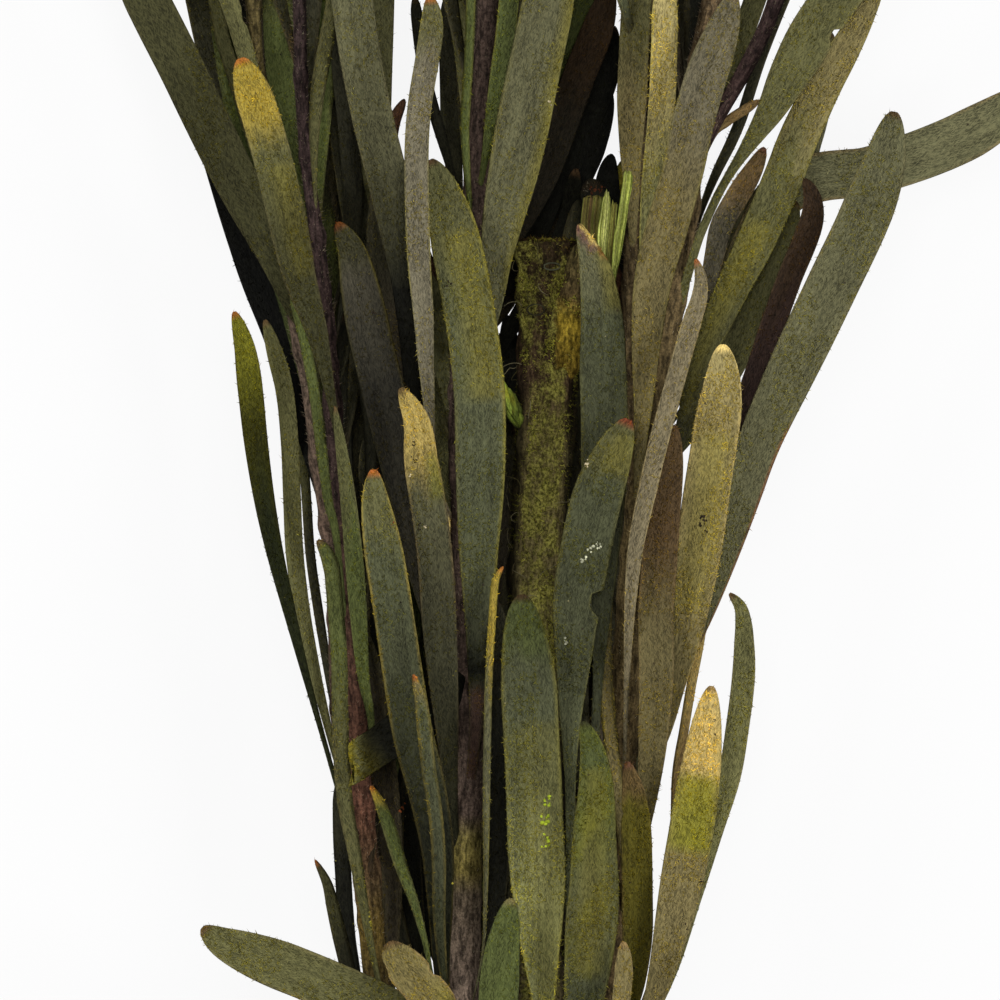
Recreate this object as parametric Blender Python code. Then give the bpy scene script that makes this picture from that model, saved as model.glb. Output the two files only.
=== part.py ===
"""Leucadendron stem lying on a table: old wood, leafy shoots and closed heads.

+X is to the right, +Y runs along the stem from its cut end to the heads, and
+Z is up.  All tables are in millimetres, measured from the middle of the
leafy stretch; the whole stem is moved onto its own origin at the end.
"""
import math
import random

import bmesh
import bpy
import numpy as np
from mathutils import Vector
from mathutils.bvhtree import BVHTree

MM = 0.001
NAME = "leucadendron_stem"

ORIGIN = (8.5, 20.8)    # plan point that becomes the object's origin
LAYER = 6.0             # height of one layer of leaves up to the stems
FRONT = (6.0, 4.4)      # layers past the first number are this far apart
BLADE_THICK = 0.9       # leaf blade at its midrib
CUP = 0.17              # rise of the blade's edges for its half width
SAMPLES = 33            # points along a blade at which heights are settled
SEED = 20

# Stems: points (x, y, z, radius) from the lower end to the tip
STEMS = {
    "W": [(6.0, -200, 7.0, 7.0), (6.4, -172, 8.6, 6.8), (7.0, -145, 13.0, 6.4), (7.2, -118, 18.5, 6.0),
          (7.0, -90, 22.0, 5.6), (6.8, -60, 23.6, 5.3), (6.5, -40, 24.0, 5.1), (6.5, -18, 24.0, 5.0),
          (7.2, 0, 24.0, 5.1), (8.0, 10, 24.0, 5.2), (8.4, 20, 24.2, 5.3), (8.5, 31, 24.6, 5.1),
          (8.3, 40, 25.0, 5.2), (8.3, 47, 25.4, 5.4)],
    "S3": [(-2.6, -125, 24.0, 3.3), (-5.4, -108, 28.0, 3.1), (-6.6, -90, 30.0, 3.0),
           (-6.4, -75, 30.0, 2.9), (-6.0, -60, 30.0, 2.8), (-5.4, -45, 30.0, 2.7), (-6.1, -30, 30.0, 2.6),
           (-6.8, -15, 30.0, 2.4), (-6.7, 0, 30.0, 2.2), (-7.0, 14, 30.0, 2.2), (-6.5, 30, 30.0, 2.2),
           (-5.0, 48, 30.0, 2.1), (-3.3, 70, 30.0, 2.0), (-2.0, 92, 30.0, 2.0), (-0.5, 115, 31.0, 2.0),
           (2.0, 145, 33.0, 2.0), (4.0, 172, 35.0, 2.0), (4.8, 186, 36.0, 2.1)],
    "S2": [(-9.0, -131, 21.0, 3.0), (-16.2, -113, 25.0, 2.6), (-21.0, -95, 26.6, 2.4),
           (-22.6, -85, 27.0, 2.3), (-24.0, -70, 27.0, 2.2), (-25.3, -52, 27.0, 2.1), (-26.4, -35, 27.0, 2.0),
           (-27.8, -18, 27.0, 1.9), (-29.0, 0, 27.0, 1.8), (-30.6, 22, 27.0, 1.5), (-32.4, 42, 27.0, 1.3),
           (-34.8, 60, 27.0, 1.2), (-36.0, 75, 27.2, 1.2), (-36.3, 90, 28.0, 1.2), (-36.8, 112, 31.0, 1.5),
           (-37.0, 140, 35.5, 1.8), (-36.6, 164, 38.5, 1.8), (-36.2, 178, 40.0, 2.0)],
    "S1": [(-23.9, -70, 27.0, 1.9), (-26.4, -57, 24.8, 1.9), (-28.4, -45, 22.6, 1.9), (-29.3, -33, 21.2, 1.7),
           (-29.9, -20, 21.0, 1.5), (-31.0, -7, 21.0, 1.4), (-32.8, 6, 21.0, 1.5), (-34.5, 20, 21.0, 1.6),
           (-37.0, 33, 21.0, 1.6), (-39.0, 46, 21.0, 1.4), (-41.0, 60, 21.0, 1.3), (-44.2, 80, 21.0, 1.2),
           (-45.5, 98, 22.0, 1.7), (-49.5, 122, 25.0, 1.7), (-53.5, 146, 28.0, 1.7), (-57.0, 168, 30.0, 1.9)],
    "S5": [(17.0, -120, 22.0, 3.2), (18.8, -102, 25.0, 3.0), (20.0, -80, 27.4, 2.9),
           (21.4, -60, 28.0, 2.8), (22.6, -38, 28.4, 2.7), (24.0, -16, 29.0, 2.6), (25.4, 0, 30.0, 2.5),
           (27.6, 14, 30.0, 2.4), (30.2, 30, 30.0, 2.3), (32.8, 45, 30.0, 2.2), (34.4, 60, 30.0, 2.1),
           (34.8, 72, 30.0, 2.0), (37.6, 86, 30.0, 2.0), (41.2, 102, 30.6, 2.0), (46.0, 126, 32.2, 2.0),
           (50.5, 150, 34.0, 2.0), (54.0, 170, 35.4, 2.1)],
    "S6": [(34.2, 56, 30.0, 1.5), (36.2, 63, 30.0, 1.4), (39.6, 69.6, 29.6, 1.3), (44.4, 78, 29.0, 1.4),
           (48.3, 86, 28.4, 1.4), (51.6, 96, 28.0, 1.5), (56.0, 112, 28.0, 1.6), (62.0, 130, 29.0, 1.6),
           (67.0, 146, 30.0, 1.7)],
    "S4": [(24.9, -6, 29.6, 1.8), (24.6, 4, 27.6, 1.7), (24.1, 16, 25.2, 1.6), (23.9, 30, 24.2, 1.6),
           (23.9, 45, 24.2, 1.6), (24.5, 60, 25.0, 1.6), (25.2, 76, 26.4, 1.5), (26.4, 94, 28.0, 1.5),
           (28.4, 114, 30.0, 1.5), (30.4, 134, 32.0, 1.6)],
    "S7": [(10.0, -126, 30.0, 2.6), (11.6, -112, 33.6, 2.4), (13.0, -98, 35.6, 2.2), (13.8, -86, 36.6, 2.1),
           (14.3, -76, 37.0, 1.9), (14.8, -62, 37.4, 1.6), (15.2, -52, 37.4, 1.2)],
}

# Where each shoot leaves the old wood, along Y
FORKS = {"S2": -176.0, "S3": -156.0, "S5": -150.0, "S7": -158.0}
SEAT_GAP = 0.3          # between the old wood's collar and the shoot on it

# Node that each stem and its leaves are part of
SHOOTS = {"left_shoot": ("S2", "S1"), "middle_shoot": ("S3",), "right_shoot": ("S5", "S6", "S4"),
          "front_shoot": ("S7",)}

# Leaves seen from the front: name, stem, height of the root on that stem,
# middle line from root to tip in plan, greatest width, layer, roll
LEAVES = [
    ("A1", "S1", 6, [(-34.2, 28), (-37.4, 36), (-41.2, 45), (-46.2, 55), (-52.2, 67), (-57.5, 78),
                     (-62.6, 88), (-70, 103)], 8.3, 5.0, 6),
    ("A2", "S2", -20, [(-27, -5), (-29, 10), (-30.7, 20), (-32.9, 30), (-36, 40), (-38.2, 50),
                       (-40.5, 60), (-43.4, 70), (-46.7, 79.4)], 7.0, 7.0, -8),
    ("A3", "S1", -4, [(-35, 8), (-37.4, 18), (-41.4, 32), (-45.9, 45), (-49.7, 57), (-52.5, 67),
                      (-54.6, 78)], 6.5, 1.6, 4),
    ("A4", "S1", 8, [(-37.6, 30), (-42, 44), (-45, 51)], 2.4, 2.9, 0),
    ("A5", "S1", 36, [(-44, 62), (-48, 76), (-50.5, 84), (-52, 92), (-53.5, 99)], 2.6, 3.0, 0),
    ("A6", "S1", 54, [(-44.3, 74), (-47, 84), (-50, 93), (-54, 103)], 3.4, 4.0, 0),
    ("A8", "S2", 48, [(-33.6, 64), (-33, 73), (-31.5, 82), (-30, 90), (-29, 99)], 2.8, 5.2, 0),
    ("A9", "S2", 38, [(-36.5, 58), (-38.5, 70), (-39.8, 80), (-40.2, 90), (-40.5, 101)], 6.0, 2.6, 0),
    ("A10", "S2", 24, [(-27.6, 42), (-26.8, 55), (-27.5, 66), (-28.5, 76), (-29.5, 86)], 3.8, 2.8, 0),
    ("A11", "S3", -10, [(-12.6, 4), (-15.2, 16), (-15.8, 30), (-16.9, 42), (-19.6, 55), (-22.8, 68),
                        (-25.2, 80), (-26.7, 90), (-28.5, 104)], 7.5, 5.6, -5),
    ("A12", "S3", 4, [(-13, 24), (-18.5, 43), (-22.4, 60), (-22.4, 75), (-22, 90), (-21.9, 101)],
                     5.5, 3.0, 0),
    ("A12b", "S3", 30, [(-12, 42), (-17, 53), (-19.6, 62), (-19.2, 68.5), (-17.3, 72.9)], 2.2, 3.3, 0),
    ("A13", "S3", -8, [(-11.4, 4), (-13.1, 22), (-13.7, 33), (-14.6, 44), (-15, 60), (-14.5, 70),
                       (-12.9, 80), (-12.2, 86), (-12.6, 90.5)], 4.4, 7.2, 0),
    ("A14", "S3", 46, [(-9.5, 62), (-13.8, 78), (-15.6, 92)], 2.2, 2.6, 0),
    ("A15", "S3", -56, [(-4.4, -41), (-3.8, -25), (-3.8, -10), (-3.5, 0), (-3.4, 10), (-3.7, 20),
                        (-4.9, 30), (-6.6, 40), (-8.7, 50), (-10.9, 57), (-12.7, 61.3)], 9.3, 6.6, 4),
    ("A16", "S3", -12, [(-9.8, 5), (-11, 18), (-11.8, 30), (-12.2, 42)], 4.5, 3.6, 0),
    ("A17", "S3", -38, [(-11.5, -25), (-14.6, -13), (-17, 2), (-19.2, 12), (-21.4, 21), (-23.6, 30),
                        (-25.2, 38), (-26.8, 45), (-29.4, 50)], 7.8, 6.0, -6),
    ("A18", "S2", -24, [(-24, -8), (-23.4, 8), (-24.2, 18), (-26, 28)], 2.2, 3.6, 0),
    ("A19", "S2", -14, [(-27.5, 2), (-28, 14), (-28.4, 26), (-28.4, 34)], 2.4, 3.0, 0),
    ("A22", "S2", 16, [(-27, 30), (-23.8, 42), (-22.9, 50), (-22.4, 58)], 2.2, 3.4, 0),
    ("B1a", "S3", 40, [(-7.6, 54), (-8.8, 65), (-9.1, 74), (-9.3, 82), (-9.3, 93)], 3.8, 2.9, 0),
    ("B1b", "S3", 54, [(-5.6, 68), (-6.5, 80), (-8.5, 92), (-9.5, 99)], 3.3, 4.0, 0),
    ("B1c", "S3", 34, [(-5.4, 50), (-6, 60), (-6.3, 68), (-5.6, 80), (-5.2, 91), (-4.8, 98)],
                      1.7, 6.0, 0),
    ("B2", "S3", 50, [(-2.4, 63), (-0.5, 74), (0.8, 82), (1.8, 92), (2.6, 102)], 3.7, 5.6, 0),
    ("B3", "S3", 14, [(-3.4, 26), (-1.4, 36), (-0.6, 44), (0.7, 51), (2.7, 60), (4.7, 70), (6.7, 80),
                      (8.8, 90), (11.2, 104)], 9.5, 6.0, 5),
    ("B4", "S3", 30, [(1, 45), (7, 57), (10.4, 66), (14, 76), (17.5, 85), (20.2, 94)], 6.0, 2.8, 0),
    ("B5", "S3", 20, [(-1.6, 34), (5, 46), (9, 56), (14, 66), (18.5, 76), (20.8, 87)], 5.5, 1.6, 0),
    ("B6", "S4", 38, [(24, 53), (23.7, 62), (23.8, 72), (24.2, 82), (24.8, 92), (25.6, 102)],
                     5.4, 5.2, 0),
    ("B7", "S5", 12, [(26.6, 28), (26.6, 40), (27.4, 52), (28.4, 62), (29.2, 72), (29.6, 82),
                      (29.7, 95)], 4.8, 6.0, 0),
    ("B8", "S5", -8, [(25, 6), (25.7, 17), (26.3, 29), (27.5, 40), (30.2, 50), (32.7, 59), (34.4, 67),
                      (36.9, 76), (39.6, 83.5), (42, 91)], 7.6, 7.2, -6),
    ("D15", "S3", 10, [(-2, 24), (6, 38), (12, 50), (13.9, 60.5)], 3.4, 2.6, 0),
    ("D16", "S4", 36, [(22, 47), (19.6, 54), (19.6, 59), (20.3, 63)], 5.0, 3.4, 0),
    ("C2", "S6", 60, [(39.2, 71), (41.8, 78), (44.3, 85), (47.4, 94), (50, 101)], 4.0, 3.2, 0),
    ("C3", "S5", 36, [(35.3, 48), (36.4, 52), (38.3, 57), (40, 60.8), (42.2, 65.2), (44.2, 70),
                      (45.8, 75), (47.4, 80), (49.3, 85), (51.3, 90), (53.4, 95)], 2.1, 2.0, 0),
    ("C4", "S5", 54, [(38, 65.6), (41, 68.6), (45, 71.2), (47.2, 72.6)], 1.8, 3.9, 0),
    ("C5", "S5", 26, [(34.6, 43), (36, 47.5), (39.3, 55), (42.2, 60), (45.5, 65), (48.7, 70),
                      (51.3, 75), (54.1, 80), (56.9, 85), (60.3, 90), (65.6, 97), (72, 104)],
                     8.4, 5.8, 5),
    ("C6", "S5", 20, [(41, 42), (48, 53), (53.4, 60), (55.4, 66), (56.7, 71), (57.7, 76), (58.6, 80.5),
                      (60.3, 85.4)], 6.8, 2.8, 0),
    ("C7", "S5", -10, [(30.4, 4), (34.3, 18), (36.5, 26), (39.8, 33.5), (42.8, 40), (45.4, 45),
                       (47.7, 50), (49.9, 55), (51.9, 60), (53.8, 65), (56.1, 70), (58.6, 75),
                       (61.5, 80), (64.3, 85), (66.9, 90), (69.5, 95)], 7.2, 5.0, 4),
    ("C8", "S5", 8, [(36.5, 27), (44, 43), (51.5, 55.6), (59, 58.7), (66, 59.4), (73, 61.4), (80, 64),
                     (86, 66.8), (92, 70.6), (98, 75.6)], 9.2, 3.4, 8),
    ("C9", "S5", -66, [(26, -46), (31.6, -31), (36, -21), (39.8, -10.5), (43.2, 0), (46.4, 10),
                       (50.8, 20), (55.6, 30), (60.4, 40), (65.1, 50), (68.8, 60), (70.9, 70)],
                      9.4, 6.4, -5),
    ("C10", "S5", -18, [(37, 3), (42.5, 13), (46, 22), (49, 31), (52.2, 40), (54.7, 46), (56.4, 51.5),
                        (56, 55.5), (54.8, 58)], 4.6, 5.6, 0),
    ("C11", "S5", 0, [(36.5, 15), (40.5, 22), (44, 30), (47, 37.5), (49.6, 44), (51.8, 49.5),
                      (53.6, 54.3)], 6.2, 4.2, 0),
    ("C12", "S5", 8, [(35, 20), (36.5, 28), (37.5, 35), (38, 40), (39, 45), (40.2, 50), (43, 55),
                      (46, 60), (48, 64)], 4.2, 4.2, 0),
    ("C13", "S5", -70, [(22.2, -52), (22.8, -30), (23.3, -18), (24.3, -8), (26, 0), (28.3, 10),
                        (31, 20), (33.8, 30), (36, 38), (35, 43.3)], 3.5, 7.9, 0),
    ("D1", "S7", -72, [(16, -56), (17.4, -36), (18.3, -14), (18.7, 4), (18.7, 14), (18.5, 22),
                       (18.3, 32), (17.2, 41), (15.8, 46), (14.2, 49.8)], 8.6, 6.4, -4),
    ("D2", "S7", -94, [(12.6, -74), (12.7, -62), (12.6, -50), (12.6, -40), (13.1, -30), (13.7, -20),
                       (15.2, -10), (17.4, 0), (20.2, 8), (23, 14.6)], 9.3, 8.0, 5),
    ("D3", "S7", -124, [(8.4, -110), (8, -98), (7.7, -88), (7.3, -80), (7, -70), (6.4, -60), (6, -50),
                        (5.5, -40), (4.9, -30), (4.2, -22), (3.9, -16.8)], 10.2, 7.6, 3),
    ("D5", "S3", -96, [(-3.2, -82), (-2.6, -70), (-2.5, -58), (-2.3, -45), (-2, -32), (-1.3, -20),
                       (-0.8, -14.5), (0.6, -11.8)], 1.4, 7.8, 0),
    ("D6", "S7", -128, [(3, -116), (-0.6, -104), (-0.4, -92), (0.2, -82), (1.3, -75), (2, -71)],
                       7.2, 8.8, 0),
    ("D7", "S7", -118, [(14.2, -104), (15, -90), (15.9, -80), (16.6, -70), (16.8, -60), (17.1, -52),
                        (16.5, -45), (14.8, -39.4)], 9.6, 8.6, -4),
    ("D8", "S7", -112, [(19.5, -101), (23.2, -90), (24.6, -80), (24.7, -70), (24.5, -60), (24, -53),
                        (22.8, -46.8)], 5.6, 7.0, 5),
    ("D9", "S7", -126, [(17, -112), (20.5, -98), (21.7, -88), (22.1, -82), (22, -78.6)], 3.3, 9.2, 0),
    ("D10", "S5", -84, [(23.6, -72), (25.5, -60), (26.8, -50), (27.6, -40), (28, -30), (27.9, -20),
                        (28.6, -10), (29.3, 0), (30.3, 7), (31.1, 13.6)], 6.3, 7.5, 0),
    ("D11", "S5", -62, [(25.8, -51), (29, -42), (31, -32), (33.3, -22), (35.5, -10), (37, 0),
                        (38.5, 10), (39.8, 20), (39.9, 28)], 8.3, 7.8, 4),
    ("D12", "S5", -86, [(22.4, -72), (22.1, -62), (21, -52), (19.8, -42), (18.9, -31), (18.8, -20),
                        (19.5, -13), (20.5, -7.6)], 2.7, 6.2, 0),
    ("E1", "S5", -114, [(25, -99), (30.8, -86), (34.8, -72), (38.3, -60), (41.5, -50), (43, -41),
                        (44.1, -32), (44.2, -25), (43.7, -19.8), (41.5, -16.8)], 4.2, 4.4, 0),
    ("E2", "S7", -120, [(17.5, -112), (24.4, -99), (28, -88), (30.1, -80), (32.3, -70), (34.2, -60),
                        (35.6, -51), (36.8, -42), (37.9, -33.2)], 8.1, 7.6, 5),
    ("E3", "S5", -104, [(27, -88), (31.4, -64), (32.2, -50), (33.5, -42), (34.8, -34), (36.3, -26),
                        (37.5, -18)], 1.8, 3.0, 0),
    ("F1", "S2", -76, [(-28.4, -56), (-30.6, -48), (-32.9, -40), (-35.7, -30), (-38.3, -20),
                       (-40.8, -10), (-42.8, 0), (-44.3, 10), (-45.4, 20), (-46.5, 28), (-48.4, 34.4)],
                      4.6, 3.4, 0),
    ("F2", "S2", -66, [(-29.4, -48), (-31.5, -40), (-34, -30), (-35.9, -21), (-37.4, -10), (-37.9, 0),
                       (-38.3, 10), (-39.3, 20), (-41.4, 28), (-43, 33)], 3.3, 2.4, 0),
    ("F2b", "S2", -68, [(-28.4, -48), (-29.9, -40), (-31.7, -30), (-33.3, -20), (-34.7, -10),
                        (-35.4, 0), (-36, 8), (-37, 16)], 1.8, 1.8, 0),
    ("F3", "S2", -32, [(-28.8, -13), (-29.8, -5), (-31, 0), (-32.3, 10), (-33.6, 20), (-35.5, 30),
                       (-37.5, 38)], 2.0, 5.6, 0),
    ("F4", "S2", -104, [(-22.2, -86), (-23.4, -80), (-24.8, -72), (-26.3, -63), (-27.8, -55),
                        (-28.5, -47), (-28.8, -38), (-29, -27), (-29.8, -17), (-30.6, -11),
                        (-32.9, -7.1)], 3.0, 5.8, 0),
    ("F5", "S2", -56, [(-23.2, -42), (-24.6, -32), (-25.5, -20), (-26.3, -10), (-27.3, 0), (-28.5, 9),
                       (-29.7, 17)], 3.4, 6.0, 0),
    ("F6", "S3", -26, [(-8, -36), (-13.5, -39), (-18, -41.8), (-22.5, -44.6), (-29, -48.6)], 7.8, 6.6, 8),
    ("F7", "S3", -110, [(-9.6, -96), (-10.5, -84), (-10.7, -72), (-11.2, -62), (-13, -52), (-15.5, -42),
                        (-17.5, -30), (-19.3, -18), (-21, -8), (-22.3, 0), (-22.6, 5.6)], 7.3, 8.2, 5),
    ("F8", "S3", -72, [(-8.3, -58), (-9.2, -46), (-10, -35), (-10.8, -24), (-11.6, -12), (-12.8, -2),
                       (-14.2, 7), (-15, 14), (-17.9, 20.2)], 6.5, 7.4, -6),
    ("F9", "S3", -104, [(-9.4, -90), (-10.8, -76), (-10.9, -64), (-11.5, -56), (-12.7, -48),
                        (-13.6, -40), (-14.3, -35), (-15.5, -31)], 2.6, 9.2, 0),
    ("F10", "S3", -104, [(-11.5, -88), (-13.5, -79), (-15.5, -72), (-17.8, -65.5), (-20, -58.5),
                         (-21.8, -54), (-23.3, -51.3)], 3.3, 6.6, 0),
    ("F11", "S3", -112, [(-13.6, -96), (-16.5, -86), (-18.3, -78), (-20.4, -70), (-22.8, -61),
                         (-25.6, -51)], 3.0, 3.6, 0),
    ("F12", "S2", -108, [(-24.4, -96), (-26.6, -89), (-28.6, -81), (-30.3, -74), (-31.4, -69.5),
                         (-33.6, -65.2)], 2.8, 4.0, 0),
    ("F13", "S2", -112, [(-24, -96), (-27.3, -83), (-28.2, -75), (-28.6, -68), (-29, -60), (-29, -50)],
                        3.0, 2.6, 0),
    ("F14", "S3", -116, [(-8.6, -103), (-14, -95.5), (-20, -91.3), (-28, -87.7), (-37, -84),
                         (-45, -80.9), (-50, -78.7), (-53.3, -76.3)], 8.8, 8.8, -6),
    ("F15", "S3", -100, [(-8, -95), (-11.2, -89.6), (-14, -86.4), (-16.8, -83.2), (-18.8, -80.4),
                         (-19.5, -78.4)], 7.2, 9.9, 0),
    ("K1", "S3", -114, [(-10.6, -99), (-15.4, -80), (-17.4, -62), (-18.4, -45), (-19, -28), (-20, -12)],
                       6.0, 2.6, 0),
    ("K2", "S2", -98, [(-20, -84), (-19.9, -66), (-20.6, -50), (-22, -34), (-23.5, -20)], 5.4, 3.2, 0),
    ("K3", "S2", -72, [(-22.6, -56), (-21.4, -38), (-21.4, -20), (-22.4, -4), (-24, 12)], 5.4, 3.4, 0),
    ("K4", "S3", -110, [(-3.4, -93), (-0.8, -72), (-0.4, -50), (-0.6, -30), (-0.8, -18)], 4.6, 5.4, 0),
    ("K5", "S5", -112, [(16, -96), (12.5, -80), (11.8, -62), (12.4, -44), (13.4, -28)], 5.4, 2.6, 0),
    ("K6", "S1", 40, [(-44, 58), (-48.5, 70), (-51.8, 80), (-54, 90), (-56, 102)], 6.4, 2.2, 0),
    ("K7", "S3", 34, [(2, 47), (7.5, 60), (11, 71), (13.6, 81), (15.4, 91), (16.8, 103)], 6.4, 2.2, 0),
    ("K8", "S3", 26, [(1.5, 40), (6.5, 49), (10.5, 55.5), (12.8, 60.6)], 6.5, 1.4, 0),
    ("K9", "S2", 30, [(-27.4, 46), (-28, 56), (-29.3, 66), (-30.6, 76), (-31.4, 88)], 3.6, 1.6, 0),
    ("F16", "S3", -96, [(-12.4, -80), (-14, -70), (-14, -60), (-13.5, -52)], 3.8, 2.0, 0),
]

# Leaves with a long narrow foot: where along them it starts to widen, and over what share
WAISTS = {
    "A2": (0.32, 0.4), "C5": (0.37, 0.34), "C9": (0.05, 0.7), "C12": (0.2, 0.6), "C13": (0.22, 0.48),
    "D1": (0.28, 0.4), "D2": (0.36, 0.4), "D3": (0.2, 0.38), "E2": (0.2, 0.5), "F1": (0.25, 0.62),
    "F6": (0.25, 0.35), "F10": (0.29, 0.7), "F15": (0.4, 0.3),
}

# Leaves pressed flat on the table: stem, root, path (x, y, z), width
REST_LEAVES = [
    ("R1", "S1", 98, [(-49, 108, 14), (-54, 118, 4.5), (-60, 129, 0), (-66, 143, 0), (-71, 157, 0),
                      (-74.5, 170, 0), (-76, 178, 0.6)], 9.0),
    ("R2", "S6", 94, [(55, 104, 20), (60.5, 113, 8), (66, 122, 1.5), (71, 131, 0), (78, 145, 0), (84, 159, 0),
                      (87.5, 170, 0.6)], 9.0),
]

# Rule for the leaves past the drawn stretch: stem, first and last root, count
UPPER = [("S1", 90, 160, 13), ("S2", 90, 170, 14), ("S3", 93, 178, 15), ("S5", 94, 162, 13),
         ("S6", 84, 140, 10), ("S4", 70, 130, 10)]
LOWER = [("S2", -124, -104, 2), ("S3", -120, -104, 2), ("S5", -114, -96, 2)]
BACK = [("S1", -46, 84, 8), ("S2", -106, 84, 13), ("S3", -122, 86, 17), ("S5", -116, 86, 15),
        ("S4", 2, 62, 4)]
GOLDEN = math.radians(137.5)

# Limits in plan of what lies behind, along Y, and the gaps that stay open
LEFT_EDGE = [(-92, -26.5), (-70, -28), (-50, -29.4), (-30, -30.6), (-10, -32.2), (10, -33.8), (20, -36),
             (30, -39), (46, -47), (60, -52), (80, -58), (92, -62)]
RIGHT_EDGE = [(-92, 26), (-55, 27), (-40, 30), (-30, 32.5), (-20, 36), (-10, 40), (0, 43), (10, 46), (20, 48),
              (32, 48), (44, 38), (60, 37.4), (70, 38), (80, 40), (92, 43)]
OPEN_GAPS = [
    [(-20, 93), (-15, 93), (-14, 84), (-16, 66), (-17.6, 64), (-20, 76)],
    [(-12, 60), (-9.6, 60), (-9.6, 76), (-11.6, 76)],
    [(20.2, 78), (21.2, 68), (20.8, 62), (14.6, 57), (16.6, 64)],
    [(0, 20), (4.6, 32), (4.6, 40), (1.6, 40)],
    [(36.4, 18), (38, 6), (33, -8), (30.6, -8)],
    [(-26, -76), (-22.6, -76), (-22.6, -92), (-26, -92)],
    [(-15, -72), (-13.4, -72), (-11.4, -88), (-15, -88)],
    [(-10.2, -2), (-8.2, -2), (-8, -9), (-9.6, -9)],
    [(-34.4, 2), (-32.8, -2), (-31, -12), (-30.2, -28), (-31.2, -29), (-33.8, -14), (-34.6, -6)],
    [(37.5, 53), (38.6, 65), (42.5, 67.5), (41, 62), (38.2, 55)],
    [(41, 75), (41, 70.5), (46, 74.5), (48, 80), (50.5, 86), (52, 90), (50, 90), (47.2, 81), (44.3, 75.5)],
    [(53, 72), (52.3, 66), (49, 58), (44, 48), (40.5, 42), (38.6, 36), (39.5, 36), (41, 47), (44, 53),
     (48.3, 61), (50, 65)],
    [(61.6, 87), (66.5, 91), (63.5, 85), (60.6, 80)],
    [(34.6, 45), (36, 47.5), (38, 50), (38, 46), (37, 41), (36.8, 36)],
    [(54.3, 36), (55.5, 40), (57, 45), (59, 51), (61, 55), (62, 54), (58, 46)],
]

# Closed heads on the ends of the flowering shoots
HEADS = ("S1", "S2", "S3", "S5")
HEAD_CORE = (5.2, 8.5)  # half width and half length of the cone
BRACTS = ((7, 26.5, 5.2, 6.6),)                         # count, length, width, reach


def smooth(t):
    """Rise from 0 to 1 with flat ends."""
    t = np.clip(t, 0.0, 1.0)
    return t * t * (3.0 - 2.0 * t)


def resample(points, count):
    """Evenly spaced points on a smooth curve through the given ones."""
    p = np.asarray(points, float)
    p = np.vstack([2 * p[0] - p[1], p, 2 * p[-1] - p[-2]])
    dense = []
    for i in range(1, len(p) - 2):
        u = np.linspace(0, 1, 16, endpoint=False)[:, None]
        a, b, c, d = p[i - 1], p[i], p[i + 1], p[i + 2]
        dense.append(0.5 * (2 * b + (c - a) * u + (2 * a - 5 * b + 4 * c - d) * u ** 2
                            + (3 * b - a - 3 * c + d) * u ** 3))
    dense = np.vstack(dense + [p[-2][None, :]])
    along = np.concatenate([[0], np.cumsum(np.linalg.norm(np.diff(dense, axis=0), axis=1))])
    at = np.linspace(0, along[-1], count)
    return np.stack([np.interp(at, along, dense[:, k]) for k in range(dense.shape[1])], axis=1)


def stem_at(stem, y):
    """Axis point and radius of a stem at height y along the object."""
    table = np.asarray(STEMS[stem], float)
    return np.array([np.interp(y, table[:, 1], table[:, k]) for k in range(4)])


def outline(t, waist=(0.05, 0.55)):
    """Half width of a blade along its length, as a share of its greatest; it widens past its waist."""
    base = 0.19 + 0.81 * smooth((t - waist[0]) / waist[1])
    tip = np.sqrt(np.clip(1.0 - ((t - 0.86) / 0.14) ** 2, 0.0, 1.0))
    return base * np.where(t > 0.86, tip, 1.0)


def new_blade(name, stem, points, width, roll, hand, flat=False):
    """A blade as evenly spaced points with half widths."""
    path = resample(points, SAMPLES)
    if flat:
        path[:, 2] = np.maximum(path[:, 2], 0.0)
    t = np.linspace(0, 1, SAMPLES)
    return {"name": name, "stem": stem, "path": path, "target": path[:, 2].copy(), "roll": math.radians(roll),
            "half": 0.5 * width * outline(t, WAISTS.get(name, (0.05, 0.55))), "hand": hand, "flat": flat,
            "extra": 0.0}


def drawn_blades():
    """The blades of the tables."""
    blades = []
    t = np.linspace(0, 1, SAMPLES)
    for name, stem, y, plan, width, layer, roll in LEAVES:
        root = stem_at(stem, y)
        points = [(root[0], root[1], 0)] + [(px, py, 0) for px, py in plan]
        blade = new_blade(name, stem, points, width, roll, True)
        height = LAYER * min(layer, FRONT[0]) + FRONT[1] * max(0.0, layer - FRONT[0])
        blade["target"] = root[2] + (height - root[2]) * smooth(t / 0.5)
        blades.append(blade)
    for name, stem, y, points, width in REST_LEAVES:
        root = stem_at(stem, y)
        blades.append(new_blade(name, stem, [tuple(root[:3])] + list(points), width, 0, True, True))
    return blades


def inside(polygon, x, y):
    """Whether a point lies in a plan polygon."""
    hit = False
    for (ax, ay), (bx, by) in zip(polygon, polygon[1:] + polygon[:1]):
        if (ay > y) != (by > y) and x < (bx - ax) * (y - ay) / (by - ay) + ax:
            hit = not hit
    return hit


def hidden(blade):
    """Whether a blade stays behind the drawn ones and out of the gaps."""
    left, right = np.array(LEFT_EDGE, float), np.array(RIGHT_EDGE, float)
    for (x, y, _), half in zip(blade["path"], blade["half"]):
        if abs(y) > 92:
            continue
        if x - half < np.interp(y, left[:, 0], left[:, 1]):
            return False
        if x + half > np.interp(y, right[:, 0], right[:, 1]):
            return False
        if any(inside(gap, x + side * half, y) for gap in OPEN_GAPS for side in (-1, 0, 1)):
            return False
    return True


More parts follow.
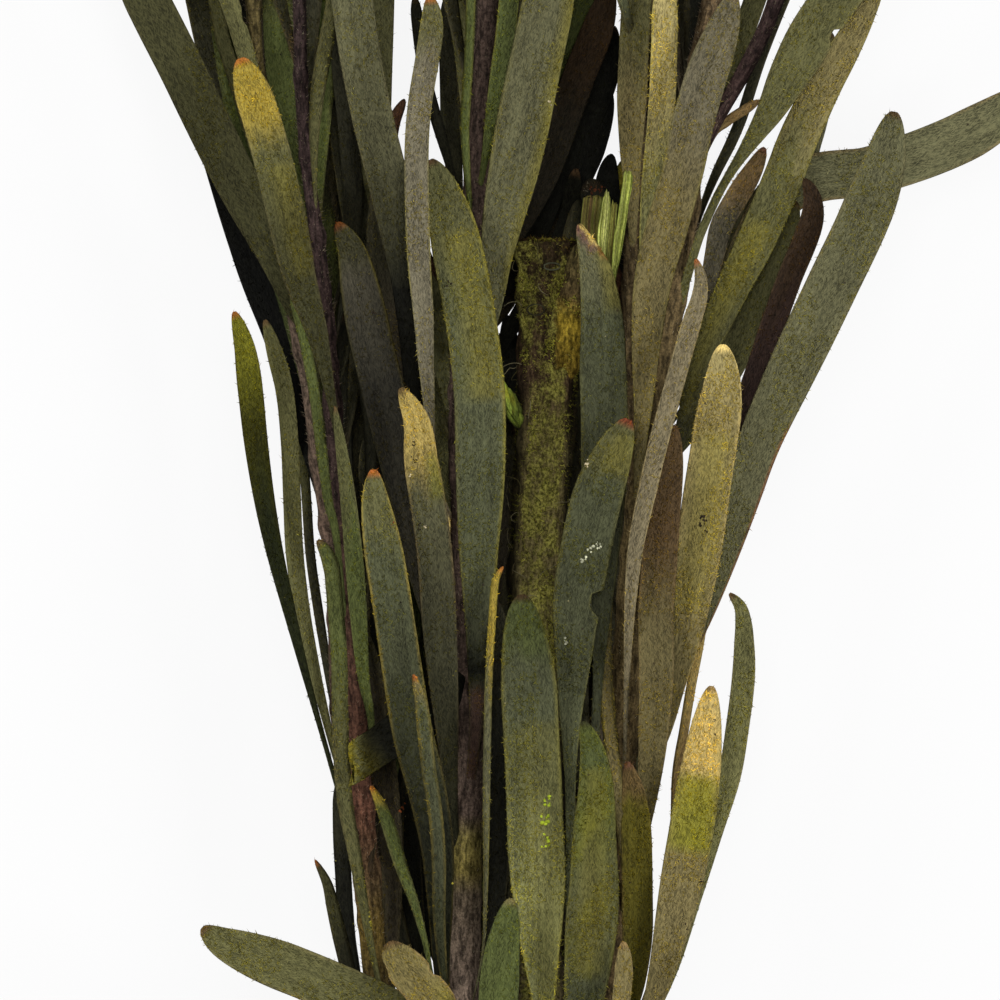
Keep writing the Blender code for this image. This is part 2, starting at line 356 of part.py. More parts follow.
def rule_blade(name, stem, y, azimuth, length, width, spread):
    """A blade at a turn round its stem, leaning out and curving up along it."""
    root = stem_at(stem, y)
    lead = stem_at(stem, y + 12) - stem_at(stem, y - 12)
    axis = lead[:3] / np.linalg.norm(lead[:3])
    side = np.cross(axis, (0, 0, 1.0))
    side /= np.linalg.norm(side)
    out = side * math.cos(azimuth) + np.cross(side, axis) * math.sin(azimuth)
    points = []
    for u in (0, 0.1, 0.22, 0.38, 0.55, 0.72, 0.87, 1.0):
        points.append(root[:3] + axis * (length * 0.96 * u) + out * (spread * (1 - (1 - u) ** 2.0)))
    return new_blade(name, stem, points, width, 38 * math.cos(azimuth), False)


def rule_blades():
    """Blades placed by a spiral rule past, below and behind the drawn ones."""
    rng = random.Random(SEED)
    blades = []
    for zone, table in (("U", UPPER), ("L", LOWER), ("K", BACK)):
        for stem, first, last, count in table:
            for i in range(count):
                y = first + (last - first) * (i + 0.5) / count
                name = "%s%s_%d" % (zone, stem, i)
                for _ in range(14):
                    azimuth = i * GOLDEN + rng.uniform(-0.4, 0.4)
                    if zone == "K":
                        azimuth = math.radians(270 + rng.uniform(-62, 62))
                    elif zone == "L":
                        azimuth = math.radians(270 + rng.uniform(-50, 50))
                    length = rng.uniform(72, 98) - 22 * max(0, (i + 0.5) / count - 0.6) * (zone == "U")
                    if zone == "L":
                        length = rng.uniform(44, 60)
                    blade = rule_blade(name, stem, y, azimuth, length, rng.uniform(6.2, 8.6),
                                       rng.uniform(13, 22))
                    if hidden(blade):
                        blades.append(blade)
                        break
    return blades


def tubes():
    """Stems and heads as points with a radius, for clearing blades from them."""
    rows = []
    owners = []
    for stem in STEMS:
        table = stem_table(stem)
        length = np.linalg.norm(np.diff(table[:, :3], axis=0), axis=1).sum()
        dense = resample(table, int(length / 2.0) + 2)
        rows.extend(dense)
        owners.extend([stem] * len(dense))
        if stem in HEADS:
            tip, axis = dense[-1], unit(dense[-1][:3] - dense[-2][:3])
            for k in range(1, 18):
                radius = 2.5 + 7.2 * math.sin(min(1.0, k / 13.0) * math.pi * 0.62)
                rows.append(np.append(tip[:3] + axis * 2.0 * k, radius))
                owners.append(stem + "_head")
    twig = resample(TWIG, 20)
    rows.extend(twig)
    owners.extend(["W"] * len(twig))
    for low, high, radius in SPLINTERS:
        for share in np.linspace(0, 1, 8):
            middle = np.array(low) * (1 - share) + np.array(high) * share
            rows.append(np.append(middle, radius * (1.1 - 0.7 * share)))
            owners.append("W")
    return np.array(rows), owners


def unit(v):
    """A vector made one long."""
    v = np.asarray(v, float)
    return v / np.linalg.norm(v)


def stem_table(stem):
    """A stem's points, with its seat on the old wood worked out."""
    table = np.asarray(STEMS[stem], float)
    if stem not in FORKS:
        return table
    fork = stem_at("W", FORKS[stem])
    wood = np.asarray(STEMS["W"], float)
    wood = resample(wood, 160)
    share = 0.3
    while share < 0.95:
        seat = fork[:3] + share * (table[0, :3] - fork[:3])
        gap = np.min(np.linalg.norm(wood[:, :3] - seat, axis=1))
        if gap > fork[3] + table[0, 3] + 1.2:
            break
        share += 0.01
    return np.vstack([np.append(seat, table[0, 3] + 0.1), table])


# Torn side twig of the old wood
TWIG = [(8.2, 18, 24.2, 3.6), (10.6, 26, 25.8, 4.3), (13.0, 34, 27.4, 4.0), (16.0, 43, 28.8, 3.6),
        (18.6, 49, 29.4, 3.3)]
SPLINTERS = [((17.6, 46, 29.6), (18.6, 57, 30.6), 1.7), ((19.6, 47, 29.2), (21.2, 59.4, 30.2), 1.6),
             ((20.8, 47, 29.4), (23.2, 60.4, 29.4), 1.3), ((19.0, 47, 27.8), (20.0, 55, 27.2), 1.6),
             ((16.6, 44, 29.4), (16.4, 53, 30.6), 1.4)]


def heights(blades, rows, owners, passes=130):
    """Settle the height of every blade so that those that cross in plan lie clear of each other."""
    n = len(blades)
    xy = np.stack([b["path"][:, :2] for b in blades]).reshape(-1, 2)
    target = np.stack([b["target"] for b in blades])
    half = np.stack([b["half"] for b in blades])
    roll = np.array([b["roll"] for b in blades])[:, None]
    extra = np.array([b["extra"] for b in blades])[:, None]
    reach = (half * np.abs(np.cos(roll)) + 0.45).ravel()
    depth = (0.5 * BLADE_THICK + half * (np.abs(np.sin(roll)) + CUP * np.cos(roll) * 0.6) + extra).ravel()
    t = np.tile(np.linspace(0, 1, SAMPLES), n)
    owner = np.repeat(np.arange(n), SAMPLES)
    free = np.array([0.0 if b["flat"] else 1.0 for b in blades])[:, None]
    low = np.array([0.0 if b["flat"] else 1.0 for b in blades])[:, None] * depth.reshape(n, -1) + 0.1
    low[free[:, 0] == 0] = -9

    # pairs of blade points that lie over each other
    order = np.argsort(xy[:, 1])
    ys = xy[order, 1]
    first, second = [], []
    for k, a in enumerate(order):
        end = np.searchsorted(ys, ys[k] + 10.5)
        others = order[k + 1:end]
        others = others[owner[others] != owner[a]]
        near = np.hypot(*(xy[others] - xy[a]).T) < reach[others] + reach[a]
        others = others[near & (t[others] > 0.1) & (t[a] > 0.1)]
        first.append(np.full(len(others), a))
        second.append(others)
    first, second = np.concatenate(first), np.concatenate(second)
    flat_target = target.ravel()
    pair = np.minimum(owner[first], owner[second]) * n + np.maximum(owner[first], owner[second])
    lower_first = owner[first] < owner[second]
    difference = np.where(lower_first, 1, -1) * (flat_target[first] - flat_target[second])
    keys, back = np.unique(pair, return_inverse=True)
    vote = np.bincount(back, weights=difference)
    sign = np.where(vote[back] >= 0, 1, -1) * np.where(lower_first, 1, -1)

    # blade points over stems
    tube_a, tube_b = [], []
    names = np.array(owners)
    own = np.array([b["stem"] for b in blades])[owner]
    for k, (x, y, z, r) in enumerate(rows):
        lo, hi = np.searchsorted(ys, (y - 11, y + 11))
        near = order[lo:hi]
        mine = own[near] == names[k]
        span = np.hypot(xy[near, 0] - x, xy[near, 1] - y) < reach[near] + r + 0.3
        near = near[span & (t[near] > np.where(mine, 0.2, 0.06))]
        tube_a.append(near)
        tube_b.append(np.full(len(near), k))
    tube_a, tube_b = np.concatenate(tube_a), np.concatenate(tube_b)
    stem_names, stem_index = np.unique(names, return_inverse=True)
    tube_key = owner[tube_a] * len(stem_names) + stem_index[tube_b]
    keys, back = np.unique(tube_key, return_inverse=True)
    vote = np.bincount(back, weights=flat_target[tube_a] - rows[tube_b, 2])
    tube_sign = np.where(vote[back] >= 0, 1, -1)

    z = target.copy()
    for step in range(passes):
        flat = z.ravel()
        up = np.zeros(flat.size)
        down = np.zeros(flat.size)
        lack = depth[first] + depth[second] + 0.3 - sign * (flat[first] - flat[second])
        bad = lack > 0
        a, b, s, l = first[bad], second[bad], sign[bad], lack[bad]
        np.maximum.at(up, np.where(s > 0, a, b), l)
        np.maximum.at(down, np.where(s > 0, b, a), l)
        up *= 0.5
        down *= 0.5
        lack = depth[tube_a] + rows[tube_b, 3] + 0.5 - tube_sign * (flat[tube_a] - rows[tube_b, 2])
        bad = lack > 0
        a, s, l = tube_a[bad], tube_sign[bad], lack[bad]
        np.maximum.at(up, a[s > 0], l[s > 0])
        np.maximum.at(down, a[s < 0], l[s < 0])
        z = z + free * 0.8 * (up - down).reshape(n, -1)
        offset = z - target
        offset[:, 0] = 0
        for _ in range(2):
            offset[:, 1:-1] = 0.25 * offset[:, :-2] + 0.5 * offset[:, 1:-1] + 0.25 * offset[:, 2:]
            offset[:, -1] = 0.5 * offset[:, -1] + 0.5 * (2 * offset[:, -2] - offset[:, -3])
        offset *= 1.0 if step > passes - 20 else 0.995
        z = np.maximum(target + offset, low)
    for blade, row in zip(blades, z):
        blade["path"][:, 2] = row


def stations(blade, shares):
    """Centres, side vectors, face normals and half widths of a blade at shares of its length."""
    t = np.linspace(0, 1, SAMPLES)
    centre = np.stack([np.interp(shares, t, blade["path"][:, k]) for k in range(3)], axis=1)
    later, sooner = np.minimum(shares + 0.04, 1), np.maximum(shares - 0.04, 0)
    tangent = np.stack([np.interp(later, t, blade["path"][:, k]) - np.interp(sooner, t, blade["path"][:, k])
                        for k in range(3)], axis=1)
    tangent /= np.linalg.norm(tangent, axis=1)[:, None]
    side = np.cross(tangent, (0, 0, 1.0))
    side /= np.linalg.norm(side, axis=1)[:, None]
    normal = np.cross(side, tangent)
    c, s = math.cos(blade["roll"]), math.sin(blade["roll"])
    side, normal = side * c + normal * s, normal * c - side * s
    half = np.interp(shares, t, blade["half"])
    return centre, side, normal, half


DRAWN = np.array([0.0, 0.16, 0.36, 0.58, 0.79, 0.91, 0.98])
RULED = np.array([0.0, 0.24, 0.52, 0.79, 0.96])
SHORT = np.array([0.0, 0.34, 0.68, 0.94])


def blade_mesh(blade):
    """Vertices and triangles of one blade: rings of edge, midrib top, edge and keel, and a point as tip."""
    long = np.sum(np.linalg.norm(np.diff(blade["path"], axis=0), axis=1)) > 34
    shares = (DRAWN if blade["hand"] else RULED) if long else SHORT
    centre, side, normal, half = stations(blade, shares)
    half = np.maximum(half, 0.45)
    if not blade["hand"]:
        return keeled(centre, side, normal, half, blade["path"][-1])
    thick = np.full(len(shares), 0.5 * BLADE_THICK)
    return loft(centre, side, normal, half, thick, blade["path"][-1], blade["flat"])


def keeled(centre, side, normal, half, tip):
    """Three-point rings with a keel underneath, for blades that few see."""
    verts, faces = [], []
    for c, s, n, h in zip(centre, side, normal, half):
        rise = n * 0.35 * BLADE_THICK
        verts += [c - s * h + rise, c + s * h + rise, c - n * 0.65 * BLADE_THICK]
    for i in range(len(centre) - 1):
        a, b = 3 * i, 3 * i + 3
        faces += [(a, a + 1, b + 1), (a, b + 1, b), (a, b, b + 2), (a, b + 2, a + 2), (a + 2, b + 2, a + 1),
                  (a + 1, b + 2, b + 1)]
    last = 3 * (len(centre) - 1)
    verts.append(np.asarray(tip, float))
    faces += [(last, last + 1, last + 3), (last + 1, last + 2, last + 3), (last + 2, last, last + 3),
              (0, 2, 1)]
    return verts, faces


def loft(centre, side, normal, half, thick, tip, flat=False):
    """Four-point rings joined alike on both faces."""
    verts, faces = [], []
    cup = 0.0 if flat else CUP
    for c, s, n, h, t in zip(centre, side, normal, half, thick):
        lift = n * (cup * h)
        if flat:
            verts += [c - s * h, c + n * 2 * t, c + s * h, c]
        else:
            verts += [c - s * h + lift, c + n * t, c + s * h + lift, c - n * t]
    count = len(centre)
    for i in range(count - 1):
        a, b = 4 * i, 4 * i + 4
        faces += [(a, b + 1, b), (a, a + 1, b + 1), (a + 1, a + 2, b + 1), (a + 2, b + 2, b + 1)]
        faces += [(a, b, b + 3), (a, b + 3, a + 3), (a + 3, b + 3, a + 2), (a + 2, b + 3, b + 2)]
    last = 4 * (count - 1)
    verts.append(np.asarray(tip, float))
    point = 4 * count
    faces += [(last, last + 1, point), (last + 1, last + 2, point), (last + 2, last + 3, point),
              (last + 3, last, point), (0, 3, 1), (1, 3, 2)]
    return verts, faces


def clear_blades(blades, rows, owners, rounds=6):
    """Settle heights until no blade crosses another shoot; a rule blade that still does is left out."""
    shoot = {stem: node for node, stems in SHOOTS.items() for stem in stems}
    for turn in range(rounds):
        heights(blades, rows, owners)
        trees = []
        for blade in blades:
            verts, faces = blade_mesh(blade)
            tree = BVHTree.FromPolygons([Vector(v) for v in verts], faces)
            trees.append((tree, np.min(verts, axis=0) - 0.2, np.max(verts, axis=0) + 0.2))
        crossed = []
        for i, a in enumerate(blades):
            for j in range(i + 1, len(blades)):
                b = blades[j]
                if np.any(trees[i][1] > trees[j][2]) or np.any(trees[j][1] > trees[i][2]):
                    continue
                if trees[i][0].overlap(trees[j][0]):
                    crossed.append((i, j, shoot[a["stem"]] != shoot[b["stem"]]))
        for i, j, other in crossed:
            blades[i]["extra"] += 0.35 if other else 0.1
            blades[j]["extra"] += 0.35 if other else 0.1
        if turn > 2 and not any(other for _, _, other in crossed):
            break
        if turn >= rounds - 3:
            drop = {j if not blades[j]["hand"] else i for i, j, other in crossed
                    if other and not (blades[i]["hand"] and blades[j]["hand"])}
            blades = [b for k, b in enumerate(blades) if k not in drop]
    return blades


def blade_object(name, verts, faces):
    """One blade as a closed mesh."""
    shape = bmesh.new()
    points = [shape.verts.new(Vector(v) * MM) for v in verts]
    for face in faces:
        shape.faces.new([points[k] for k in face])
    bmesh.ops.recalc_face_normals(shape, faces=shape.faces)
    mesh = bpy.data.meshes.new(name)
    shape.to_mesh(mesh)
    shape.free()
    return bpy.data.objects.new(name, mesh)


def tube_object(name, points, sides=1):
    """A round stem through points with radii, with welded end caps."""
    curve = bpy.data.curves.new(name, "CURVE")
    curve.dimensions = "3D"
    curve.bevel_depth = MM
    curve.bevel_resolution = sides
    curve.use_fill_caps = True
    spline = curve.splines.new("POLY")
    spline.points.add(len(points) - 1)
    for point, (x, y, z, r) in zip(spline.points, points):
        point.co = (x * MM, y * MM, z * MM, 1.0)
        point.radius = r
    guide = bpy.data.objects.new(name, curve)
    bpy.context.scene.collection.objects.link(guide)
    mesh = bpy.data.meshes.new_from_object(guide.evaluated_get(bpy.context.evaluated_depsgraph_get()))
    bpy.data.objects.remove(guide)
    shape = bmesh.new()
    shape.from_mesh(mesh)
    bmesh.ops.remove_doubles(shape, verts=shape.verts, dist=0.00001)
    bmesh.ops.recalc_face_normals(shape, faces=shape.faces)
    shape.to_mesh(mesh)
    shape.free()
    return bpy.data.objects.new(name, mesh)


def join(name, base, others, solver="EXACT"):
    """Unite a base object with others into one solid under a name."""
    base.name = name
    base.data.name = name
    HOME.objects.link(base)
    group = bpy.data.collections.new(name + "_parts")
    bpy.context.scene.collection.children.link(group)
    for thing in others:
        group.objects.link(thing)
    union = base.modifiers.new("union", "BOOLEAN")
    union.operation = "UNION"
    union.operand_type = "COLLECTION"
    union.collection = group
    union.solver = solver
    bpy.context.view_layer.update()
    mesh = bpy.data.meshes.new_from_object(base.evaluated_get(bpy.context.evaluated_depsgraph_get()))
    base.modifiers.clear()
    base.data = mesh
    for thing in list(group.objects):
        bpy.data.objects.remove(thing)
    bpy.data.collections.remove(group)
    return base


def material(name, colour, roughness):
    """A plain finish for one kind of piece."""
    made = bpy.data.materials.new(name)
    made.use_nodes = True
    shader = made.node_tree.nodes["Principled BSDF"]
    shader.inputs["Base Color"].default_value = (*colour, 1.0)
    shader.inputs["Roughness"].default_value = roughness
    shader.inputs["Metallic"].default_value = 0.0
    return made


def head_parts(stem, rng):
    """A closed head: a cone in a cup of bracts, seated on the end of its stem."""
    table = stem_table(stem)
    dense = resample(table, 200)
    axis = unit(dense[-1][:3] - dense[-3][:3])
    start = dense[-1][:3] + axis * (SEAT_GAP + 0.05)
    right = unit(np.cross(axis, (0, 0, 1.0)))
    up = np.cross(right, axis)
    half, long = HEAD_CORE
    centre = start + axis * (long + 3.5)
    cone = bmesh.new()
    bmesh.ops.create_uvsphere(cone, u_segments=8, v_segments=5, radius=1.0)
    turn = np.stack([right * half, up * half, axis * long], axis=1)
    for vert in cone.verts:
        vert.co = Vector((centre + turn @ np.array(vert.co)) * MM)
    bmesh.ops.recalc_face_normals(cone, faces=cone.faces)
    mesh = bpy.data.meshes.new("cone")
    cone.to_mesh(mesh)
    cone.free()
    core = bpy.data.objects.new("cone", mesh)
    parts = [tube_object("neck", [tuple(start) + (2.1,), tuple(start + axis * 3.0) + (2.9,),
                                  tuple(start + axis * 5.6) + (3.0,)], 1)]
    for row, (count, length, width, reach) in enumerate(BRACTS):
        for k in range(count):
            angle = 2 * math.pi * (k + 0.5 * row) / count + rng.uniform(-0.08, 0.08)
            out = right * math.cos(angle) + up * math.sin(angle)
            across = np.cross(axis, out)
            shares = np.array([0.0, 0.3, 0.65, 0.92])
            rise = length * shares + 6.4
            away = 2.0 + (reach - 1.2) * np.sin(np.clip(shares * 1.5, 0, 1) * math.pi * 0.5)
            away = away - 2.2 * smooth((shares - 0.6) / 0.4)
            points = start + np.outer(rise, axis) + np.outer(away, out)
            tip = start + axis * (length + 6.4) + out * (reach - 2.2)
            span = 0.5 * width * np.array([0.3, 0.78, 0.95, 0.5])
            sides = np.tile(across, (len(shares), 1))
            inward = np.tile(-out, (len(shares), 1))
            verts, faces = loft(points, sides, inward, span, np.full(len(shares), 0.45), tip)
            parts.append(blade_object("bract", verts, faces))
    return core, parts


def clear_scene():
    """Remove what the file opened with."""
    for thing in list(bpy.data.objects):
        bpy.data.objects.remove(thing)


clear_scene()
HOME = bpy.data.collections.new(NAME)
bpy.context.scene.collection.children.link(HOME)

ROWS, OWNERS = tubes()
BLADES = clear_blades(drawn_blades() + rule_blades(), ROWS, OWNERS)

leaf_finish = material("leaf", (0.07, 0.075, 0.045), 0.62)
wood_finish = material("old wood", (0.045, 0.032, 0.017), 0.85)
head_finish = material("bract", (0.16, 0.14, 0.05), 0.6)

for node, stems in SHOOTS.items():
    first = tube_object(node, stem_table(stems[0]))
    parts = []
    for stem in stems[1:]:
        table = stem_table(stem)
        parts.append(tube_object(stem, table))
    for blade in BLADES:
        if blade["stem"] in stems:
            parts.append(blade_object(blade["name"], *blade_mesh(blade)))
    shoot = join(node, first, parts)
    shoot.data.materials.clear()
    shoot.data.materials.append(leaf_finish)

# old wood with collars under the shoots and the torn twig
wood = tube_object("old_wood", STEMS["W"], 4)
parts = [tube_object("twig", TWIG, 3)]
for stem, y in FORKS.items():
    fork = stem_at("W", y)
    seat = stem_table(stem)
    reach = unit(seat[1][:3] - seat[0][:3])
    end = seat[0][:3] - reach * SEAT_GAP
    parts.append(tube_object("collar", [tuple(fork[:3]) + (seat[0][3] + 1.0,),
                                        tuple(0.5 * fork[:3] + 0.5 * end) + (seat[0][3] + 0.9,),
                                        tuple(end) + (seat[0][3] + 0.4,)], 3))
for low, high, radius in SPLINTERS:
    parts.append(tube_object("splinter", [low + (radius,), tuple(0.5 * np.add(low, high)) + (radius * 0.8,),
                                          high + (0.25,)], 1))
wood = join("old_wood", wood, parts)
wood.data.materials.clear()
wood.data.materials.append(wood_finish)

# closed heads
chance = random.Random(SEED + 1)
for stem in HEADS:
    core, parts = head_parts(stem, chance)
    head = join("head_" + str(HEADS.index(stem) + 1), core, parts)
    head.data.materials.clear()
    head.data.materials.append(head_finish)

# the whole stem on its own origin
base = bpy.data.objects.new(NAME, None)
base.location = (-ORIGIN[0] * MM, -ORIGIN[1] * MM, 0.0)
bpy.context.scene.collection.objects.link(base)
for thing in list(HOME.objects):
    thing.parent = base
bpy.context.view_layer.update()
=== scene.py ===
"""Leucadendron stem: fine leaves, bark, moss, torn wood and heads on the solid stem."""

import math
import random

import bpy
import numpy as np
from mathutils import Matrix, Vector, noise
from mathutils.bvhtree import BVHTree


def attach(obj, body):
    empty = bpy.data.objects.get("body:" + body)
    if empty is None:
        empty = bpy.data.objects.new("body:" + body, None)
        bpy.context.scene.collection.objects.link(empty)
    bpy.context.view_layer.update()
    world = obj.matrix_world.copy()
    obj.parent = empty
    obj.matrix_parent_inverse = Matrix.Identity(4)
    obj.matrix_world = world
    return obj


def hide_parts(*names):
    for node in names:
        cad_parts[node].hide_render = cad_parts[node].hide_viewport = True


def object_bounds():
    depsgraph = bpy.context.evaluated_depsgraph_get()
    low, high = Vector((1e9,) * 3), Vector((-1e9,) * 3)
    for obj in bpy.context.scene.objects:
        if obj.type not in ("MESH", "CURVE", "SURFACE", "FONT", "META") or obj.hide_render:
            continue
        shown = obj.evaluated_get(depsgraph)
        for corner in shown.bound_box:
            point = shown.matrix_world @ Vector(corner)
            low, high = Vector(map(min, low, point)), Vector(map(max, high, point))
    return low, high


bl_info = {
    "name": "Leucadendron stem",
    "version": (1, 0, 0),
    "blender": (4, 5, 0),
    "location": "3D View > Sidebar > Leucadendron",
    "description": "Builds the leaves, wood, moss and heads of a cut leucadendron stem",
    "category": "Add Mesh",
}

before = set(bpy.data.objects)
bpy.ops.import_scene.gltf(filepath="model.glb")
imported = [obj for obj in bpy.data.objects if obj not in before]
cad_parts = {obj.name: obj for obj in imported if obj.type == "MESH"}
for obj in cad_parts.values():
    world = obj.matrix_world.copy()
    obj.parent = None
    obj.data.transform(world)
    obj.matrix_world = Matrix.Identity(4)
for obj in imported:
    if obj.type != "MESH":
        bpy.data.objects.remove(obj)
CAD_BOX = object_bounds()
MM = 0.001

ORIGIN = (8.5, 20.8)    # plan point that becomes the object's origin
LAYER = 6.0             # height of one layer of leaves up to the stems
FRONT = (6.0, 4.4)      # layers past the first number are this far apart
BLADE_THICK = 0.9       # leaf blade at its midrib
CUP = 0.17              # rise of the blade's edges for its half width
SAMPLES = 33            # points along a blade at which heights are settled
USUAL_WAIST = (0.05, 0.55)      # where along a leaf it starts to widen, and over what share
DRAWN_TO = 92           # Y at both ends of the stretch in which the leaves are drawn
INSET = 2e-5            # how far inside the CAD box the pieces stay, in metres
SEED = 20               # each group of pieces draws from a stream of its own, from this number on
SPAN = 100.0            # millimetres to one unit of a mesh's own places

# Stems: points (x, y, z, radius) from the lower end to the tip
STEMS = {
    "W": [(6.0, -200, 7.0, 7.0), (6.4, -172, 8.6, 6.8), (7.0, -145, 13.0, 6.4), (7.2, -118, 18.5, 6.0),
          (7.0, -90, 22.0, 5.6), (6.8, -60, 23.6, 5.3), (6.5, -40, 24.0, 5.1), (6.5, -18, 24.0, 5.0),
          (7.2, 0, 24.0, 5.1), (8.0, 10, 24.0, 5.2), (8.4, 20, 24.2, 5.3), (8.5, 31, 24.6, 5.1),
          (8.3, 40, 25.0, 5.2), (8.3, 47, 25.4, 5.4)],
    "S3": [(-2.6, -125, 24.0, 3.3), (-5.4, -108, 28.0, 3.1), (-6.6, -90, 30.0, 3.0),
           (-6.4, -75, 30.0, 2.9), (-6.0, -60, 30.0, 2.8), (-5.4, -45, 30.0, 2.7), (-6.1, -30, 30.0, 2.6),
           (-6.8, -15, 30.0, 2.4), (-6.7, 0, 30.0, 2.2), (-7.0, 14, 30.0, 2.2), (-6.5, 30, 30.0, 2.2),
           (-5.0, 48, 30.0, 2.1), (-3.3, 70, 30.0, 2.0), (-2.0, 92, 30.0, 2.0), (-0.5, 115, 31.0, 2.0),
           (2.0, 145, 33.0, 2.0), (4.0, 172, 35.0, 2.0), (4.8, 186, 36.0, 2.1)],
    "S2": [(-9.0, -131, 21.0, 3.0), (-16.2, -113, 25.0, 2.6), (-21.0, -95, 26.6, 2.4),
           (-22.6, -85, 27.0, 2.3), (-24.0, -70, 27.0, 2.2), (-25.3, -52, 27.0, 2.1), (-26.4, -35, 27.0, 2.0),
           (-27.8, -18, 27.0, 1.9), (-29.0, 0, 27.0, 1.8), (-30.6, 22, 27.0, 1.5), (-32.4, 42, 27.0, 1.3),
           (-34.8, 60, 27.0, 1.2), (-36.0, 75, 27.2, 1.2), (-36.3, 90, 28.0, 1.2), (-36.8, 112, 31.0, 1.5),
           (-37.0, 140, 35.5, 1.8), (-36.6, 164, 38.5, 1.8), (-36.2, 178, 40.0, 2.0)],
    "S1": [(-23.9, -70, 27.0, 1.9), (-26.4, -57, 24.8, 1.9), (-28.4, -45, 22.6, 1.9), (-29.3, -33, 21.2, 1.7),
           (-29.9, -20, 21.0, 1.5), (-31.0, -7, 21.0, 1.4), (-32.8, 6, 21.0, 1.5), (-34.5, 20, 21.0, 1.6),
           (-37.0, 33, 21.0, 1.6), (-39.0, 46, 21.0, 1.4), (-41.0, 60, 21.0, 1.3), (-44.2, 80, 21.0, 1.2),
           (-45.5, 98, 22.0, 1.7), (-49.5, 122, 25.0, 1.7), (-53.5, 146, 28.0, 1.7), (-57.0, 168, 30.0, 1.9)],
    "S5": [(17.0, -120, 22.0, 3.2), (18.8, -102, 25.0, 3.0), (20.0, -80, 27.4, 2.9),
           (21.4, -60, 28.0, 2.8), (22.6, -38, 28.4, 2.7), (24.0, -16, 29.0, 2.6), (25.4, 0, 30.0, 2.5),
           (27.6, 14, 30.0, 2.4), (30.2, 30, 30.0, 2.3), (32.8, 45, 30.0, 2.2), (34.4, 60, 30.0, 2.1),
           (34.8, 72, 30.0, 2.0), (37.6, 86, 30.0, 2.0), (41.2, 102, 30.6, 2.0), (46.0, 126, 32.2, 2.0),
           (50.5, 150, 34.0, 2.0), (54.0, 170, 35.4, 2.1)],
    "S6": [(34.2, 56, 30.0, 1.5), (36.2, 63, 30.0, 1.4), (39.6, 69.6, 29.6, 1.3), (44.4, 78, 29.0, 1.4),
           (48.3, 86, 28.4, 1.4), (51.6, 96, 28.0, 1.5), (56.0, 112, 28.0, 1.6), (62.0, 130, 29.0, 1.6),
           (67.0, 146, 30.0, 1.7)],
    "S4": [(24.9, -6, 29.6, 1.8), (24.6, 4, 27.6, 1.7), (24.1, 16, 25.2, 1.6), (23.9, 30, 24.2, 1.6),
           (23.9, 45, 24.2, 1.6), (24.5, 60, 25.0, 1.6), (25.2, 76, 26.4, 1.5), (26.4, 94, 28.0, 1.5),
           (28.4, 114, 30.0, 1.5), (30.4, 134, 32.0, 1.6)],
    "S7": [(10.0, -126, 30.0, 2.6), (11.6, -112, 33.6, 2.4), (13.0, -98, 35.6, 2.2), (13.8, -86, 36.6, 2.1),
           (14.3, -76, 37.0, 1.9), (14.8, -62, 37.4, 1.6), (15.2, -52, 37.4, 1.2)],
}

# Where each shoot leaves the old wood, along Y
FORKS = {"S2": -176.0, "S3": -156.0, "S5": -150.0, "S7": -158.0}
SEAT_GAP = 0.3          # between the old wood's collar and the shoot on it

# Node that each stem and its leaves are part of
SHOOTS = {"left_shoot": ("S2", "S1"), "middle_shoot": ("S3",), "right_shoot": ("S5", "S6", "S4"),
          "front_shoot": ("S7",)}

